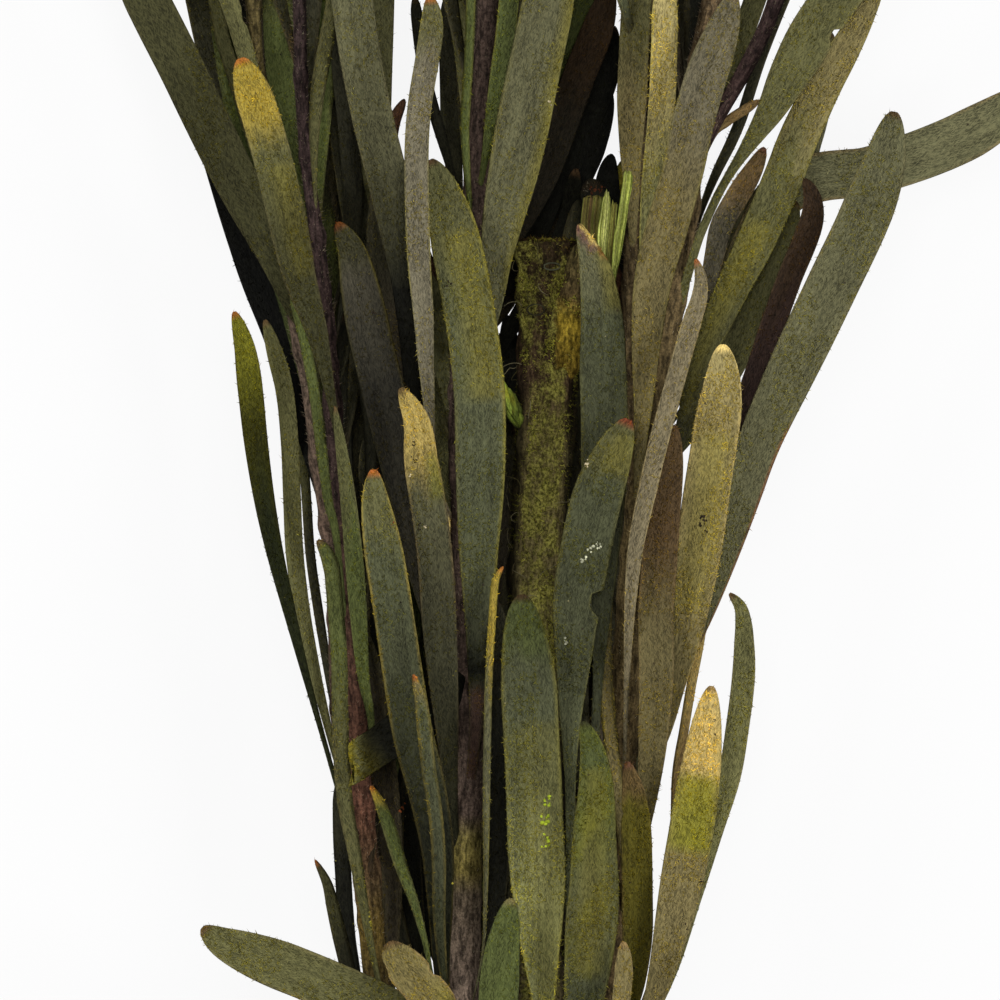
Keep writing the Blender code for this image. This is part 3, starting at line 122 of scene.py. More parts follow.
# Leaves seen from the front: name, stem, height of the root on that stem,
# middle line from root to tip in plan, greatest width, layer, roll
LEAVES = [
    ("A1", "S1", 6, [(-34.2, 28), (-37.4, 36), (-41.2, 45), (-46.2, 55), (-52.2, 67), (-57.5, 78),
                     (-62.6, 88), (-70, 103)], 8.3, 5.0, 6),
    ("A2", "S2", -20, [(-27, -5), (-29, 10), (-30.7, 20), (-32.9, 30), (-36, 40), (-38.2, 50),
                       (-40.5, 60), (-43.4, 70), (-46.7, 79.4)], 7.0, 7.0, -8),
    ("A3", "S1", -4, [(-35, 8), (-37.4, 18), (-41.4, 32), (-45.9, 45), (-49.7, 57), (-52.5, 67),
                      (-54.6, 78)], 6.5, 1.6, 4),
    ("A4", "S1", 8, [(-37.6, 30), (-42, 44), (-45, 51)], 2.4, 2.9, 0),
    ("A5", "S1", 36, [(-44, 62), (-48, 76), (-50.5, 84), (-52, 92), (-53.5, 99)], 2.6, 3.0, 0),
    ("A6", "S1", 54, [(-44.3, 74), (-47, 84), (-50, 93), (-54, 103)], 3.4, 4.0, 0),
    ("A8", "S2", 48, [(-33.6, 64), (-33, 73), (-31.5, 82), (-30, 90), (-29, 99)], 2.8, 5.2, 0),
    ("A9", "S2", 38, [(-36.5, 58), (-38.5, 70), (-39.8, 80), (-40.2, 90), (-40.5, 101)], 6.0, 2.6, 0),
    ("A10", "S2", 24, [(-27.6, 42), (-26.8, 55), (-27.5, 66), (-28.5, 76), (-29.5, 86)], 3.8, 2.8, 0),
    ("A11", "S3", -10, [(-12.6, 4), (-15.2, 16), (-15.8, 30), (-16.9, 42), (-19.6, 55), (-22.8, 68),
                        (-25.2, 80), (-26.7, 90), (-28.5, 104)], 7.5, 5.6, -5),
    ("A12", "S3", 4, [(-13, 24), (-18.5, 43), (-22.4, 60), (-22.4, 75), (-22, 90), (-21.9, 101)],
                     5.5, 3.0, 0),
    ("A12b", "S3", 30, [(-12, 42), (-17, 53), (-19.6, 62), (-19.2, 68.5), (-17.3, 72.9)], 2.2, 3.3, 0),
    ("A13", "S3", -8, [(-11.4, 4), (-13.1, 22), (-13.7, 33), (-14.6, 44), (-15, 60), (-14.5, 70),
                       (-12.9, 80), (-12.2, 86), (-12.6, 90.5)], 4.4, 7.2, 0),
    ("A14", "S3", 46, [(-9.5, 62), (-13.8, 78), (-15.6, 92)], 2.2, 2.6, 0),
    ("A15", "S3", -56, [(-4.4, -41), (-3.8, -25), (-3.8, -10), (-3.5, 0), (-3.4, 10), (-3.7, 20),
                        (-4.9, 30), (-6.6, 40), (-8.7, 50), (-10.9, 57), (-12.7, 61.3)], 9.3, 6.6, 4),
    ("A16", "S3", -12, [(-9.8, 5), (-11, 18), (-11.8, 30), (-12.2, 42)], 4.5, 3.6, 0),
    ("A17", "S3", -38, [(-11.5, -25), (-14.6, -13), (-17, 2), (-19.2, 12), (-21.4, 21), (-23.6, 30),
                        (-25.2, 38), (-26.8, 45), (-29.4, 50)], 7.8, 6.0, -6),
    ("A18", "S2", -24, [(-24, -8), (-23.4, 8), (-24.2, 18), (-26, 28)], 2.2, 3.6, 0),
    ("A19", "S2", -14, [(-27.5, 2), (-28, 14), (-28.4, 26), (-28.4, 34)], 2.4, 3.0, 0),
    ("A22", "S2", 16, [(-27, 30), (-23.8, 42), (-22.9, 50), (-22.4, 58)], 2.2, 3.4, 0),
    ("B1a", "S3", 40, [(-7.6, 54), (-8.8, 65), (-9.1, 74), (-9.3, 82), (-9.3, 93)], 3.8, 2.9, 0),
    ("B1b", "S3", 54, [(-5.6, 68), (-6.5, 80), (-8.5, 92), (-9.5, 99)], 3.3, 4.0, 0),
    ("B1c", "S3", 34, [(-5.4, 50), (-6, 60), (-6.3, 68), (-5.6, 80), (-5.2, 91), (-4.8, 98)],
                      1.7, 6.0, 0),
    ("B2", "S3", 50, [(-2.4, 63), (-0.5, 74), (0.8, 82), (1.8, 92), (2.6, 102)], 3.7, 5.6, 0),
    ("B3", "S3", 14, [(-3.4, 26), (-1.4, 36), (-0.6, 44), (0.7, 51), (2.7, 60), (4.7, 70), (6.7, 80),
                      (8.8, 90), (11.2, 104)], 9.5, 6.0, 5),
    ("B4", "S3", 30, [(1, 45), (7, 57), (10.4, 66), (14, 76), (17.5, 85), (20.2, 94)], 6.0, 2.8, 0),
    ("B5", "S3", 20, [(-1.6, 34), (5, 46), (9, 56), (14, 66), (18.5, 76), (20.8, 87)], 5.5, 1.6, 0),
    ("B6", "S4", 38, [(24, 53), (23.7, 62), (23.8, 72), (24.2, 82), (24.8, 92), (25.6, 102)],
                     5.4, 5.2, 0),
    ("B7", "S5", 12, [(26.6, 28), (26.6, 40), (27.4, 52), (28.4, 62), (29.2, 72), (29.6, 82),
                      (29.7, 95)], 4.8, 6.0, 0),
    ("B8", "S5", -8, [(25, 6), (25.7, 17), (26.3, 29), (27.5, 40), (30.2, 50), (32.7, 59), (34.4, 67),
                      (36.9, 76), (39.6, 83.5), (42, 91)], 7.6, 7.2, -6),
    ("D15", "S3", 10, [(-2, 24), (6, 38), (12, 50), (13.9, 60.5)], 3.4, 2.6, 0),
    ("D16", "S4", 36, [(22, 47), (19.6, 54), (19.6, 59), (20.3, 63)], 5.0, 3.4, 0),
    ("C2", "S6", 60, [(39.2, 71), (41.8, 78), (44.3, 85), (47.4, 94), (50, 101)], 4.0, 3.2, 0),
    ("C3", "S5", 36, [(35.3, 48), (36.4, 52), (38.3, 57), (40, 60.8), (42.2, 65.2), (44.2, 70),
                      (45.8, 75), (47.4, 80), (49.3, 85), (51.3, 90), (53.4, 95)], 2.1, 2.0, 0),
    ("C4", "S5", 54, [(38, 65.6), (41, 68.6), (45, 71.2), (47.2, 72.6)], 1.8, 3.9, 0),
    ("C5", "S5", 26, [(34.6, 43), (36, 47.5), (39.3, 55), (42.2, 60), (45.5, 65), (48.7, 70),
                      (51.3, 75), (54.1, 80), (56.9, 85), (60.3, 90), (65.6, 97), (72, 104)],
                     8.4, 5.8, 5),
    ("C6", "S5", 20, [(41, 42), (48, 53), (53.4, 60), (55.4, 66), (56.7, 71), (57.7, 76), (58.6, 80.5),
                      (60.3, 85.4)], 6.8, 2.8, 0),
    ("C7", "S5", -10, [(30.4, 4), (34.3, 18), (36.5, 26), (39.8, 33.5), (42.8, 40), (45.4, 45),
                       (47.7, 50), (49.9, 55), (51.9, 60), (53.8, 65), (56.1, 70), (58.6, 75),
                       (61.5, 80), (64.3, 85), (66.9, 90), (69.5, 95)], 7.2, 5.0, 4),
    ("C8", "S5", 8, [(36.5, 27), (44, 43), (51.5, 55.6), (59, 58.7), (66, 59.4), (73, 61.4), (80, 64),
                     (86, 66.8), (92, 70.6), (98, 75.6)], 9.2, 3.4, 8),
    ("C9", "S5", -66, [(26, -46), (31.6, -31), (36, -21), (39.8, -10.5), (43.2, 0), (46.4, 10),
                       (50.8, 20), (55.6, 30), (60.4, 40), (65.1, 50), (68.8, 60), (70.9, 70)],
                      9.4, 6.4, -5),
    ("C10", "S5", -18, [(37, 3), (42.5, 13), (46, 22), (49, 31), (52.2, 40), (54.7, 46), (56.4, 51.5),
                        (56, 55.5), (54.8, 58)], 4.6, 5.6, 0),
    ("C11", "S5", 0, [(36.5, 15), (40.5, 22), (44, 30), (47, 37.5), (49.6, 44), (51.8, 49.5),
                      (53.6, 54.3)], 6.2, 4.2, 0),
    ("C12", "S5", 8, [(35, 20), (36.5, 28), (37.5, 35), (38, 40), (39, 45), (40.2, 50), (43, 55),
                      (46, 60), (48, 64)], 4.2, 4.2, 0),
    ("C13", "S5", -70, [(22.2, -52), (22.8, -30), (23.3, -18), (24.3, -8), (26, 0), (28.3, 10),
                        (31, 20), (33.8, 30), (36, 38), (35, 43.3)], 3.5, 7.9, 0),
    ("D1", "S7", -72, [(16, -56), (17.4, -36), (18.3, -14), (18.7, 4), (18.7, 14), (18.5, 22),
                       (18.3, 32), (17.2, 41), (15.8, 46), (14.2, 49.8)], 8.6, 6.4, -4),
    ("D2", "S7", -94, [(12.6, -74), (12.7, -62), (12.6, -50), (12.6, -40), (13.1, -30), (13.7, -20),
                       (15.2, -10), (17.4, 0), (20.2, 8), (23, 14.6)], 9.3, 8.0, 5),
    ("D3", "S7", -124, [(8.4, -110), (8, -98), (7.7, -88), (7.3, -80), (7, -70), (6.4, -60), (6, -50),
                        (5.5, -40), (4.9, -30), (4.2, -22), (3.9, -16.8)], 10.2, 7.6, 3),
    ("D5", "S3", -96, [(-3.2, -82), (-2.6, -70), (-2.5, -58), (-2.3, -45), (-2, -32), (-1.3, -20),
                       (-0.8, -14.5), (0.6, -11.8)], 1.4, 7.8, 0),
    ("D6", "S7", -128, [(3, -116), (-0.6, -104), (-0.4, -92), (0.2, -82), (1.3, -75), (2, -71)],
                       7.2, 8.8, 0),
    ("D7", "S7", -118, [(14.2, -104), (15, -90), (15.9, -80), (16.6, -70), (16.8, -60), (17.1, -52),
                        (16.5, -45), (14.8, -39.4)], 9.6, 8.6, -4),
    ("D8", "S7", -112, [(19.5, -101), (23.2, -90), (24.6, -80), (24.7, -70), (24.5, -60), (24, -53),
                        (22.8, -46.8)], 5.6, 7.0, 5),
    ("D9", "S7", -126, [(17, -112), (20.5, -98), (21.7, -88), (22.1, -82), (22, -78.6)], 3.3, 9.2, 0),
    ("D10", "S5", -84, [(23.6, -72), (25.5, -60), (26.8, -50), (27.6, -40), (28, -30), (27.9, -20),
                        (28.6, -10), (29.3, 0), (30.3, 7), (31.1, 13.6)], 6.3, 7.5, 0),
    ("D11", "S5", -62, [(25.8, -51), (29, -42), (31, -32), (33.3, -22), (35.5, -10), (37, 0),
                        (38.5, 10), (39.8, 20), (39.9, 28)], 8.3, 7.8, 4),
    ("D12", "S5", -86, [(22.4, -72), (22.1, -62), (21, -52), (19.8, -42), (18.9, -31), (18.8, -20),
                        (19.5, -13), (20.5, -7.6)], 2.7, 6.2, 0),
    ("E1", "S5", -114, [(25, -99), (30.8, -86), (34.8, -72), (38.3, -60), (41.5, -50), (43, -41),
                        (44.1, -32), (44.2, -25), (43.7, -19.8), (41.5, -16.8)], 4.2, 4.4, 0),
    ("E2", "S7", -120, [(17.5, -112), (24.4, -99), (28, -88), (30.1, -80), (32.3, -70), (34.2, -60),
                        (35.6, -51), (36.8, -42), (37.9, -33.2)], 8.1, 7.6, 5),
    ("E3", "S5", -104, [(27, -88), (31.4, -64), (32.2, -50), (33.5, -42), (34.8, -34), (36.3, -26),
                        (37.5, -18)], 1.8, 3.0, 0),
    ("F1", "S2", -76, [(-28.4, -56), (-30.6, -48), (-32.9, -40), (-35.7, -30), (-38.3, -20),
                       (-40.8, -10), (-42.8, 0), (-44.3, 10), (-45.4, 20), (-46.5, 28), (-48.4, 34.4)],
                      4.6, 3.4, 0),
    ("F2", "S2", -66, [(-29.4, -48), (-31.5, -40), (-34, -30), (-35.9, -21), (-37.4, -10), (-37.9, 0),
                       (-38.3, 10), (-39.3, 20), (-41.4, 28), (-43, 33)], 3.3, 2.4, 0),
    ("F2b", "S2", -68, [(-28.4, -48), (-29.9, -40), (-31.7, -30), (-33.3, -20), (-34.7, -10),
                        (-35.4, 0), (-36, 8), (-37, 16)], 1.8, 1.8, 0),
    ("F3", "S2", -32, [(-28.8, -13), (-29.8, -5), (-31, 0), (-32.3, 10), (-33.6, 20), (-35.5, 30),
                       (-37.5, 38)], 2.0, 5.6, 0),
    ("F4", "S2", -104, [(-22.2, -86), (-23.4, -80), (-24.8, -72), (-26.3, -63), (-27.8, -55),
                        (-28.5, -47), (-28.8, -38), (-29, -27), (-29.8, -17), (-30.6, -11),
                        (-32.9, -7.1)], 3.0, 5.8, 0),
    ("F5", "S2", -56, [(-23.2, -42), (-24.6, -32), (-25.5, -20), (-26.3, -10), (-27.3, 0), (-28.5, 9),
                       (-29.7, 17)], 3.4, 6.0, 0),
    ("F6", "S3", -26, [(-8, -36), (-13.5, -39), (-18, -41.8), (-22.5, -44.6), (-29, -48.6)], 7.8, 6.6, 8),
    ("F7", "S3", -110, [(-9.6, -96), (-10.5, -84), (-10.7, -72), (-11.2, -62), (-13, -52), (-15.5, -42),
                        (-17.5, -30), (-19.3, -18), (-21, -8), (-22.3, 0), (-22.6, 5.6)], 7.3, 8.2, 5),
    ("F8", "S3", -72, [(-8.3, -58), (-9.2, -46), (-10, -35), (-10.8, -24), (-11.6, -12), (-12.8, -2),
                       (-14.2, 7), (-15, 14), (-17.9, 20.2)], 6.5, 7.4, -6),
    ("F9", "S3", -104, [(-9.4, -90), (-10.8, -76), (-10.9, -64), (-11.5, -56), (-12.7, -48),
                        (-13.6, -40), (-14.3, -35), (-15.5, -31)], 2.6, 9.2, 0),
    ("F10", "S3", -104, [(-11.5, -88), (-13.5, -79), (-15.5, -72), (-17.8, -65.5), (-20, -58.5),
                         (-21.8, -54), (-23.3, -51.3)], 3.3, 6.6, 0),
    ("F11", "S3", -112, [(-13.6, -96), (-16.5, -86), (-18.3, -78), (-20.4, -70), (-22.8, -61),
                         (-25.6, -51)], 3.0, 3.6, 0),
    ("F12", "S2", -108, [(-24.4, -96), (-26.6, -89), (-28.6, -81), (-30.3, -74), (-31.4, -69.5),
                         (-33.6, -65.2)], 2.8, 4.0, 0),
    ("F13", "S2", -112, [(-24, -96), (-27.3, -83), (-28.2, -75), (-28.6, -68), (-29, -60), (-29, -50)],
                        3.0, 2.6, 0),
    ("F14", "S3", -116, [(-8.6, -103), (-14, -95.5), (-20, -91.3), (-28, -87.7), (-37, -84),
                         (-45, -80.9), (-50, -78.7), (-53.3, -76.3)], 8.8, 8.8, -6),
    ("F15", "S3", -100, [(-8, -95), (-11.2, -89.6), (-14, -86.4), (-16.8, -83.2), (-18.8, -80.4),
                         (-19.5, -78.4)], 7.2, 9.9, 0),
    ("K1", "S3", -114, [(-10.6, -99), (-15.4, -80), (-17.4, -62), (-18.4, -45), (-19, -28), (-20, -12)],
                       6.0, 2.6, 0),
    ("K2", "S2", -98, [(-20, -84), (-19.9, -66), (-20.6, -50), (-22, -34), (-23.5, -20)], 5.4, 3.2, 0),
    ("K3", "S2", -72, [(-22.6, -56), (-21.4, -38), (-21.4, -20), (-22.4, -4), (-24, 12)], 5.4, 3.4, 0),
    ("K4", "S3", -110, [(-3.4, -93), (-0.8, -72), (-0.4, -50), (-0.6, -30), (-0.8, -18)], 4.6, 5.4, 0),
    ("K5", "S5", -112, [(16, -96), (12.5, -80), (11.8, -62), (12.4, -44), (13.4, -28)], 5.4, 2.6, 0),
    ("K6", "S1", 40, [(-44, 58), (-48.5, 70), (-51.8, 80), (-54, 90), (-56, 102)], 6.4, 2.2, 0),
    ("K7", "S3", 34, [(2, 47), (7.5, 60), (11, 71), (13.6, 81), (15.4, 91), (16.8, 103)], 6.4, 2.2, 0),
    ("K8", "S3", 26, [(1.5, 40), (6.5, 49), (10.5, 55.5), (12.8, 60.6)], 6.5, 1.4, 0),
    ("K9", "S2", 30, [(-27.4, 46), (-28, 56), (-29.3, 66), (-30.6, 76), (-31.4, 88)], 3.6, 1.6, 0),
    ("F16", "S3", -96, [(-12.4, -80), (-14, -70), (-14, -60), (-13.5, -52)], 3.8, 2.0, 0),
]

# Leaves with a long narrow foot: where along them it starts to widen, and over what share
WAISTS = {
    "A2": (0.32, 0.4), "C5": (0.37, 0.34), "C9": (0.05, 0.7), "C12": (0.2, 0.6), "C13": (0.22, 0.48),
    "D1": (0.28, 0.4), "D2": (0.36, 0.4), "D3": (0.2, 0.38), "E2": (0.2, 0.5), "F1": (0.25, 0.62),
    "F6": (0.25, 0.35), "F10": (0.29, 0.7), "F15": (0.4, 0.3),
}

# Leaves pressed flat on the table: stem, root, path (x, y, z), width
REST_LEAVES = [
    ("R1", "S1", 98, [(-49, 108, 14), (-54, 118, 4.5), (-60, 129, 0), (-66, 143, 0), (-71, 157, 0),
                      (-74.5, 170, 0), (-76, 178, 0.6)], 9.0),
    ("R2", "S6", 94, [(55, 104, 20), (60.5, 113, 8), (66, 122, 1.5), (71, 131, 0), (78, 145, 0), (84, 159, 0),
                      (87.5, 170, 0.6)], 9.0),
]

# Rule for the leaves past the drawn stretch: stem, first and last root, count
UPPER = [("S1", 90, 160, 13), ("S2", 90, 170, 14), ("S3", 93, 178, 15), ("S5", 94, 162, 13),
         ("S6", 84, 140, 10), ("S4", 70, 130, 10)]
LOWER = [("S2", -124, -104, 2), ("S3", -120, -104, 2), ("S5", -114, -96, 2)]
BACK = [("S1", -46, 84, 8), ("S2", -106, 84, 13), ("S3", -122, 86, 17), ("S5", -116, 86, 15),
        ("S4", 2, 62, 4)]
GOLDEN = math.radians(137.5)

# Limits in plan of what lies behind, along Y, and the gaps that stay open
LEFT_EDGE = [(-92, -26.5), (-70, -28), (-50, -29.4), (-30, -30.6), (-10, -32.2), (10, -33.8), (20, -36),
             (30, -39), (46, -47), (60, -52), (80, -58), (92, -62)]
RIGHT_EDGE = [(-92, 26), (-55, 27), (-40, 30), (-30, 32.5), (-20, 36), (-10, 40), (0, 43), (10, 46),
              (20, 48), (32, 48), (44, 38), (60, 37.4), (70, 38), (80, 40), (92, 43)]
OPEN_GAPS = [
    [(-20, 93), (-15, 93), (-14, 84), (-16, 66), (-17.6, 64), (-20, 76)],
    [(-12, 60), (-9.6, 60), (-9.6, 76), (-11.6, 76)],
    [(20.2, 78), (21.2, 68), (20.8, 62), (14.6, 57), (16.6, 64)],
    [(0, 20), (4.6, 32), (4.6, 40), (1.6, 40)],
    [(36.4, 18), (38, 6), (33, -8), (30.6, -8)],
    [(-26, -76), (-22.6, -76), (-22.6, -92), (-26, -92)],
    [(-15, -72), (-13.4, -72), (-11.4, -88), (-15, -88)],
    [(-10.2, -2), (-8.2, -2), (-8, -9), (-9.6, -9)],
    [(-34.4, 2), (-32.8, -2), (-31, -12), (-30.2, -28), (-31.2, -29), (-33.8, -14), (-34.6, -6)],
    [(37.5, 53), (38.6, 65), (42.5, 67.5), (41, 62), (38.2, 55)],
    [(41, 75), (41, 70.5), (46, 74.5), (48, 80), (50.5, 86), (52, 90), (50, 90), (47.2, 81), (44.3, 75.5)],
    [(53, 72), (52.3, 66), (49, 58), (44, 48), (40.5, 42), (38.6, 36), (39.5, 36), (41, 47), (44, 53),
     (48.3, 61), (50, 65)],
    [(61.6, 87), (66.5, 91), (63.5, 85), (60.6, 80)],
    [(34.6, 45), (36, 47.5), (38, 50), (38, 46), (37, 41), (36.8, 36)],
    [(54.3, 36), (55.5, 40), (57, 45), (59, 51), (61, 55), (62, 54), (58, 46)],
]

# Closed heads on the ends of the flowering shoots
HEADS = ("S1", "S2", "S3", "S5")
HEAD_CORE = (5.2, 8.5)  # half width and half length of the cone

# Torn side twig of the old wood
TWIG = [(8.2, 18, 24.2, 3.6), (10.6, 26, 25.8, 4.3), (13.0, 34, 27.4, 4.0), (16.0, 43, 28.8, 3.6),
        (18.6, 49, 29.4, 3.3)]
SPLINTERS = [((17.6, 46, 29.6), (18.6, 57, 30.6), 1.7), ((19.6, 47, 29.2), (21.2, 59.4, 30.2), 1.6),
             ((20.8, 47, 29.4), (23.2, 60.4, 29.4), 1.3), ((19.0, 47, 27.8), (20.0, 55, 27.2), 1.6),
             ((16.6, 44, 29.4), (16.4, 53, 30.6), 1.4)]


def smooth(t):
    """Rise from 0 to 1 with flat ends."""
    t = np.clip(t, 0.0, 1.0)
    return t * t * (3.0 - 2.0 * t)


def unit(v):
    """A vector made one long."""
    v = np.asarray(v, float)
    return v / np.linalg.norm(v)


def units(rows):
    """Each row made one long."""
    return rows / np.linalg.norm(rows, axis=1)[:, None]


def level_frame(tangent):
    """For each tangent the side that lies level, and the normal over both."""
    side = units(np.cross(tangent, (0, 0, 1.0)))
    return side, np.cross(side, tangent)


def path_length(points):
    """Length of a line of points, which may have a radius as well."""
    return float(np.sum(np.linalg.norm(np.diff(points[:, :3], axis=0), axis=1)))


def read_rows(at, along, rows):
    """A table's rows read at other places along it."""
    return np.stack([np.interp(at, along, rows[:, k]) for k in range(rows.shape[1])], axis=1)


def resample(points, count):
    """Evenly spaced points on a smooth curve through the given ones."""
    p = np.asarray(points, float)
    p = np.vstack([2 * p[0] - p[1], p, 2 * p[-1] - p[-2]])
    dense = []
    for i in range(1, len(p) - 2):
        u = np.linspace(0, 1, 16, endpoint=False)[:, None]
        a, b, c, d = p[i - 1], p[i], p[i + 1], p[i + 2]
        dense.append(0.5 * (2 * b + (c - a) * u + (2 * a - 5 * b + 4 * c - d) * u ** 2
                            + (3 * b - a - 3 * c + d) * u ** 3))
    dense = np.vstack(dense + [p[-2][None, :]])
    along = np.concatenate([[0], np.cumsum(np.linalg.norm(np.diff(dense, axis=0), axis=1))])
    return read_rows(np.linspace(0, along[-1], count), along, dense)


def stem_at(stem, y):
    """Axis point and radius of a stem at height y along the object."""
    table = np.asarray(STEMS[stem], float)
    return np.array([np.interp(y, table[:, 1], table[:, k]) for k in range(4)])


def outline(t, waist=USUAL_WAIST):
    """Half width of a blade along its length, as a share of its greatest; it widens past its waist."""
    base = 0.19 + 0.81 * smooth((t - waist[0]) / waist[1])
    tip = np.sqrt(np.clip(1.0 - ((t - 0.86) / 0.14) ** 2, 0.0, 1.0))
    return base * np.where(t > 0.86, tip, 1.0)


def new_blade(name, stem, points, width, roll, hand, flat=False):
    """A blade as evenly spaced points with half widths."""
    path = resample(points, SAMPLES)
    if flat:
        path[:, 2] = np.maximum(path[:, 2], 0.0)
    t = np.linspace(0, 1, SAMPLES)
    return {"name": name, "stem": stem, "path": path, "target": path[:, 2].copy(), "roll": math.radians(roll),
            "half": 0.5 * width * outline(t, WAISTS.get(name, USUAL_WAIST)), "hand": hand, "flat": flat,
            "extra": 0.0}


def drawn_blades():
    """The blades of the tables."""
    blades = []
    t = np.linspace(0, 1, SAMPLES)
    for name, stem, y, plan, width, layer, roll in LEAVES:
        root = stem_at(stem, y)
        points = [(root[0], root[1], 0)] + [(px, py, 0) for px, py in plan]
        blade = new_blade(name, stem, points, width, roll, True)
        height = LAYER * min(layer, FRONT[0]) + FRONT[1] * max(0.0, layer - FRONT[0])
        blade["target"] = root[2] + (height - root[2]) * smooth(t / 0.5)
        blades.append(blade)
    for name, stem, y, points, width in REST_LEAVES:
        root = stem_at(stem, y)
        blades.append(new_blade(name, stem, [tuple(root[:3])] + list(points), width, 0, True, True))
    return blades


def inside(polygon, x, y):
    """Whether a point lies in a plan polygon."""
    hit = False
    for (ax, ay), (bx, by) in zip(polygon, polygon[1:] + polygon[:1]):
        if (ay > y) != (by > y) and x < (bx - ax) * (y - ay) / (by - ay) + ax:
            hit = not hit
    return hit


def hidden(blade):
    """Whether a blade stays behind the drawn ones and out of the gaps."""
    left, right = np.array(LEFT_EDGE, float), np.array(RIGHT_EDGE, float)
    for (x, y, _), half in zip(blade["path"], blade["half"]):
        if abs(y) > DRAWN_TO:
            continue
        if x - half < np.interp(y, left[:, 0], left[:, 1]):
            return False
        if x + half > np.interp(y, right[:, 0], right[:, 1]):
            return False
        if any(inside(gap, x + side * half, y) for gap in OPEN_GAPS for side in (-1, 0, 1)):
            return False
    return True


def rule_blade(name, stem, y, azimuth, length, width, spread):
    """A blade at a turn round its stem, leaning out and curving up along it."""
    root = stem_at(stem, y)
    lead = stem_at(stem, y + 12) - stem_at(stem, y - 12)
    axis = unit(lead[:3])
    side = unit(np.cross(axis, (0, 0, 1.0)))
    out = side * math.cos(azimuth) + np.cross(side, axis) * math.sin(azimuth)
    points = []
    for u in (0, 0.1, 0.22, 0.38, 0.55, 0.72, 0.87, 1.0):
        points.append(root[:3] + axis * (length * 0.96 * u) + out * (spread * (1 - (1 - u) ** 2.0)))
    return new_blade(name, stem, points, width, 38 * math.cos(azimuth), False)


def rule_blades():
    """Blades placed by a spiral rule past, below and behind the drawn ones."""
    rng = random.Random(SEED)
    blades = []
    for zone, table in (("U", UPPER), ("L", LOWER), ("K", BACK)):
        for stem, first, last, count in table:
            for i in range(count):
                y = first + (last - first) * (i + 0.5) / count
                name = "%s%s_%d" % (zone, stem, i)
                for _ in range(14):
                    azimuth = i * GOLDEN + rng.uniform(-0.4, 0.4)
                    if zone == "K":
                        azimuth = math.radians(270 + rng.uniform(-62, 62))
                    elif zone == "L":
                        azimuth = math.radians(270 + rng.uniform(-50, 50))
                    length = rng.uniform(72, 98) - 22 * max(0, (i + 0.5) / count - 0.6) * (zone == "U")
                    if zone == "L":
                        length = rng.uniform(44, 60)
                    blade = rule_blade(name, stem, y, azimuth, length, rng.uniform(6.2, 8.6),
                                       rng.uniform(13, 22))
                    if hidden(blade):
                        blades.append(blade)
                        break
    return blades


def tubes():
    """Stems and heads as points with a radius, for clearing blades from them."""
    rows = []
    owners = []
    for stem in STEMS:
        table = stem_table(stem)
        dense = resample(table, int(path_length(table) / 2.0) + 2)
        rows.extend(dense)
        owners.extend([stem] * len(dense))
        if stem in HEADS:
            tip, axis = dense[-1], unit(dense[-1][:3] - dense[-2][:3])
            for k in range(1, 18):
                radius = 2.5 + 7.2 * math.sin(min(1.0, k / 13.0) * math.pi * 0.62)
                rows.append(np.append(tip[:3] + axis * 2.0 * k, radius))
                owners.append(stem + "_head")
    twig = resample(TWIG, 20)
    rows.extend(twig)
    owners.extend(["W"] * len(twig))
    for low, high, radius in SPLINTERS:
        for share in np.linspace(0, 1, 8):
            middle = np.array(low) * (1 - share) + np.array(high) * share
            rows.append(np.append(middle, radius * (1.1 - 0.7 * share)))
            owners.append("W")
    return np.array(rows), owners


def stem_table(stem):
    """A stem's points, with its seat on the old wood worked out."""
    table = np.asarray(STEMS[stem], float)
    if stem not in FORKS:
        return table
    fork = stem_at("W", FORKS[stem])
    wood = resample(STEMS["W"], 160)
    share = 0.3
    while share < 0.95:
        seat = fork[:3] + share * (table[0, :3] - fork[:3])
        gap = np.min(np.linalg.norm(wood[:, :3] - seat, axis=1))
        if gap > fork[3] + table[0, 3] + 1.2:
            break
        share += 0.01
    return np.vstack([np.append(seat, table[0, 3] + 0.1), table])


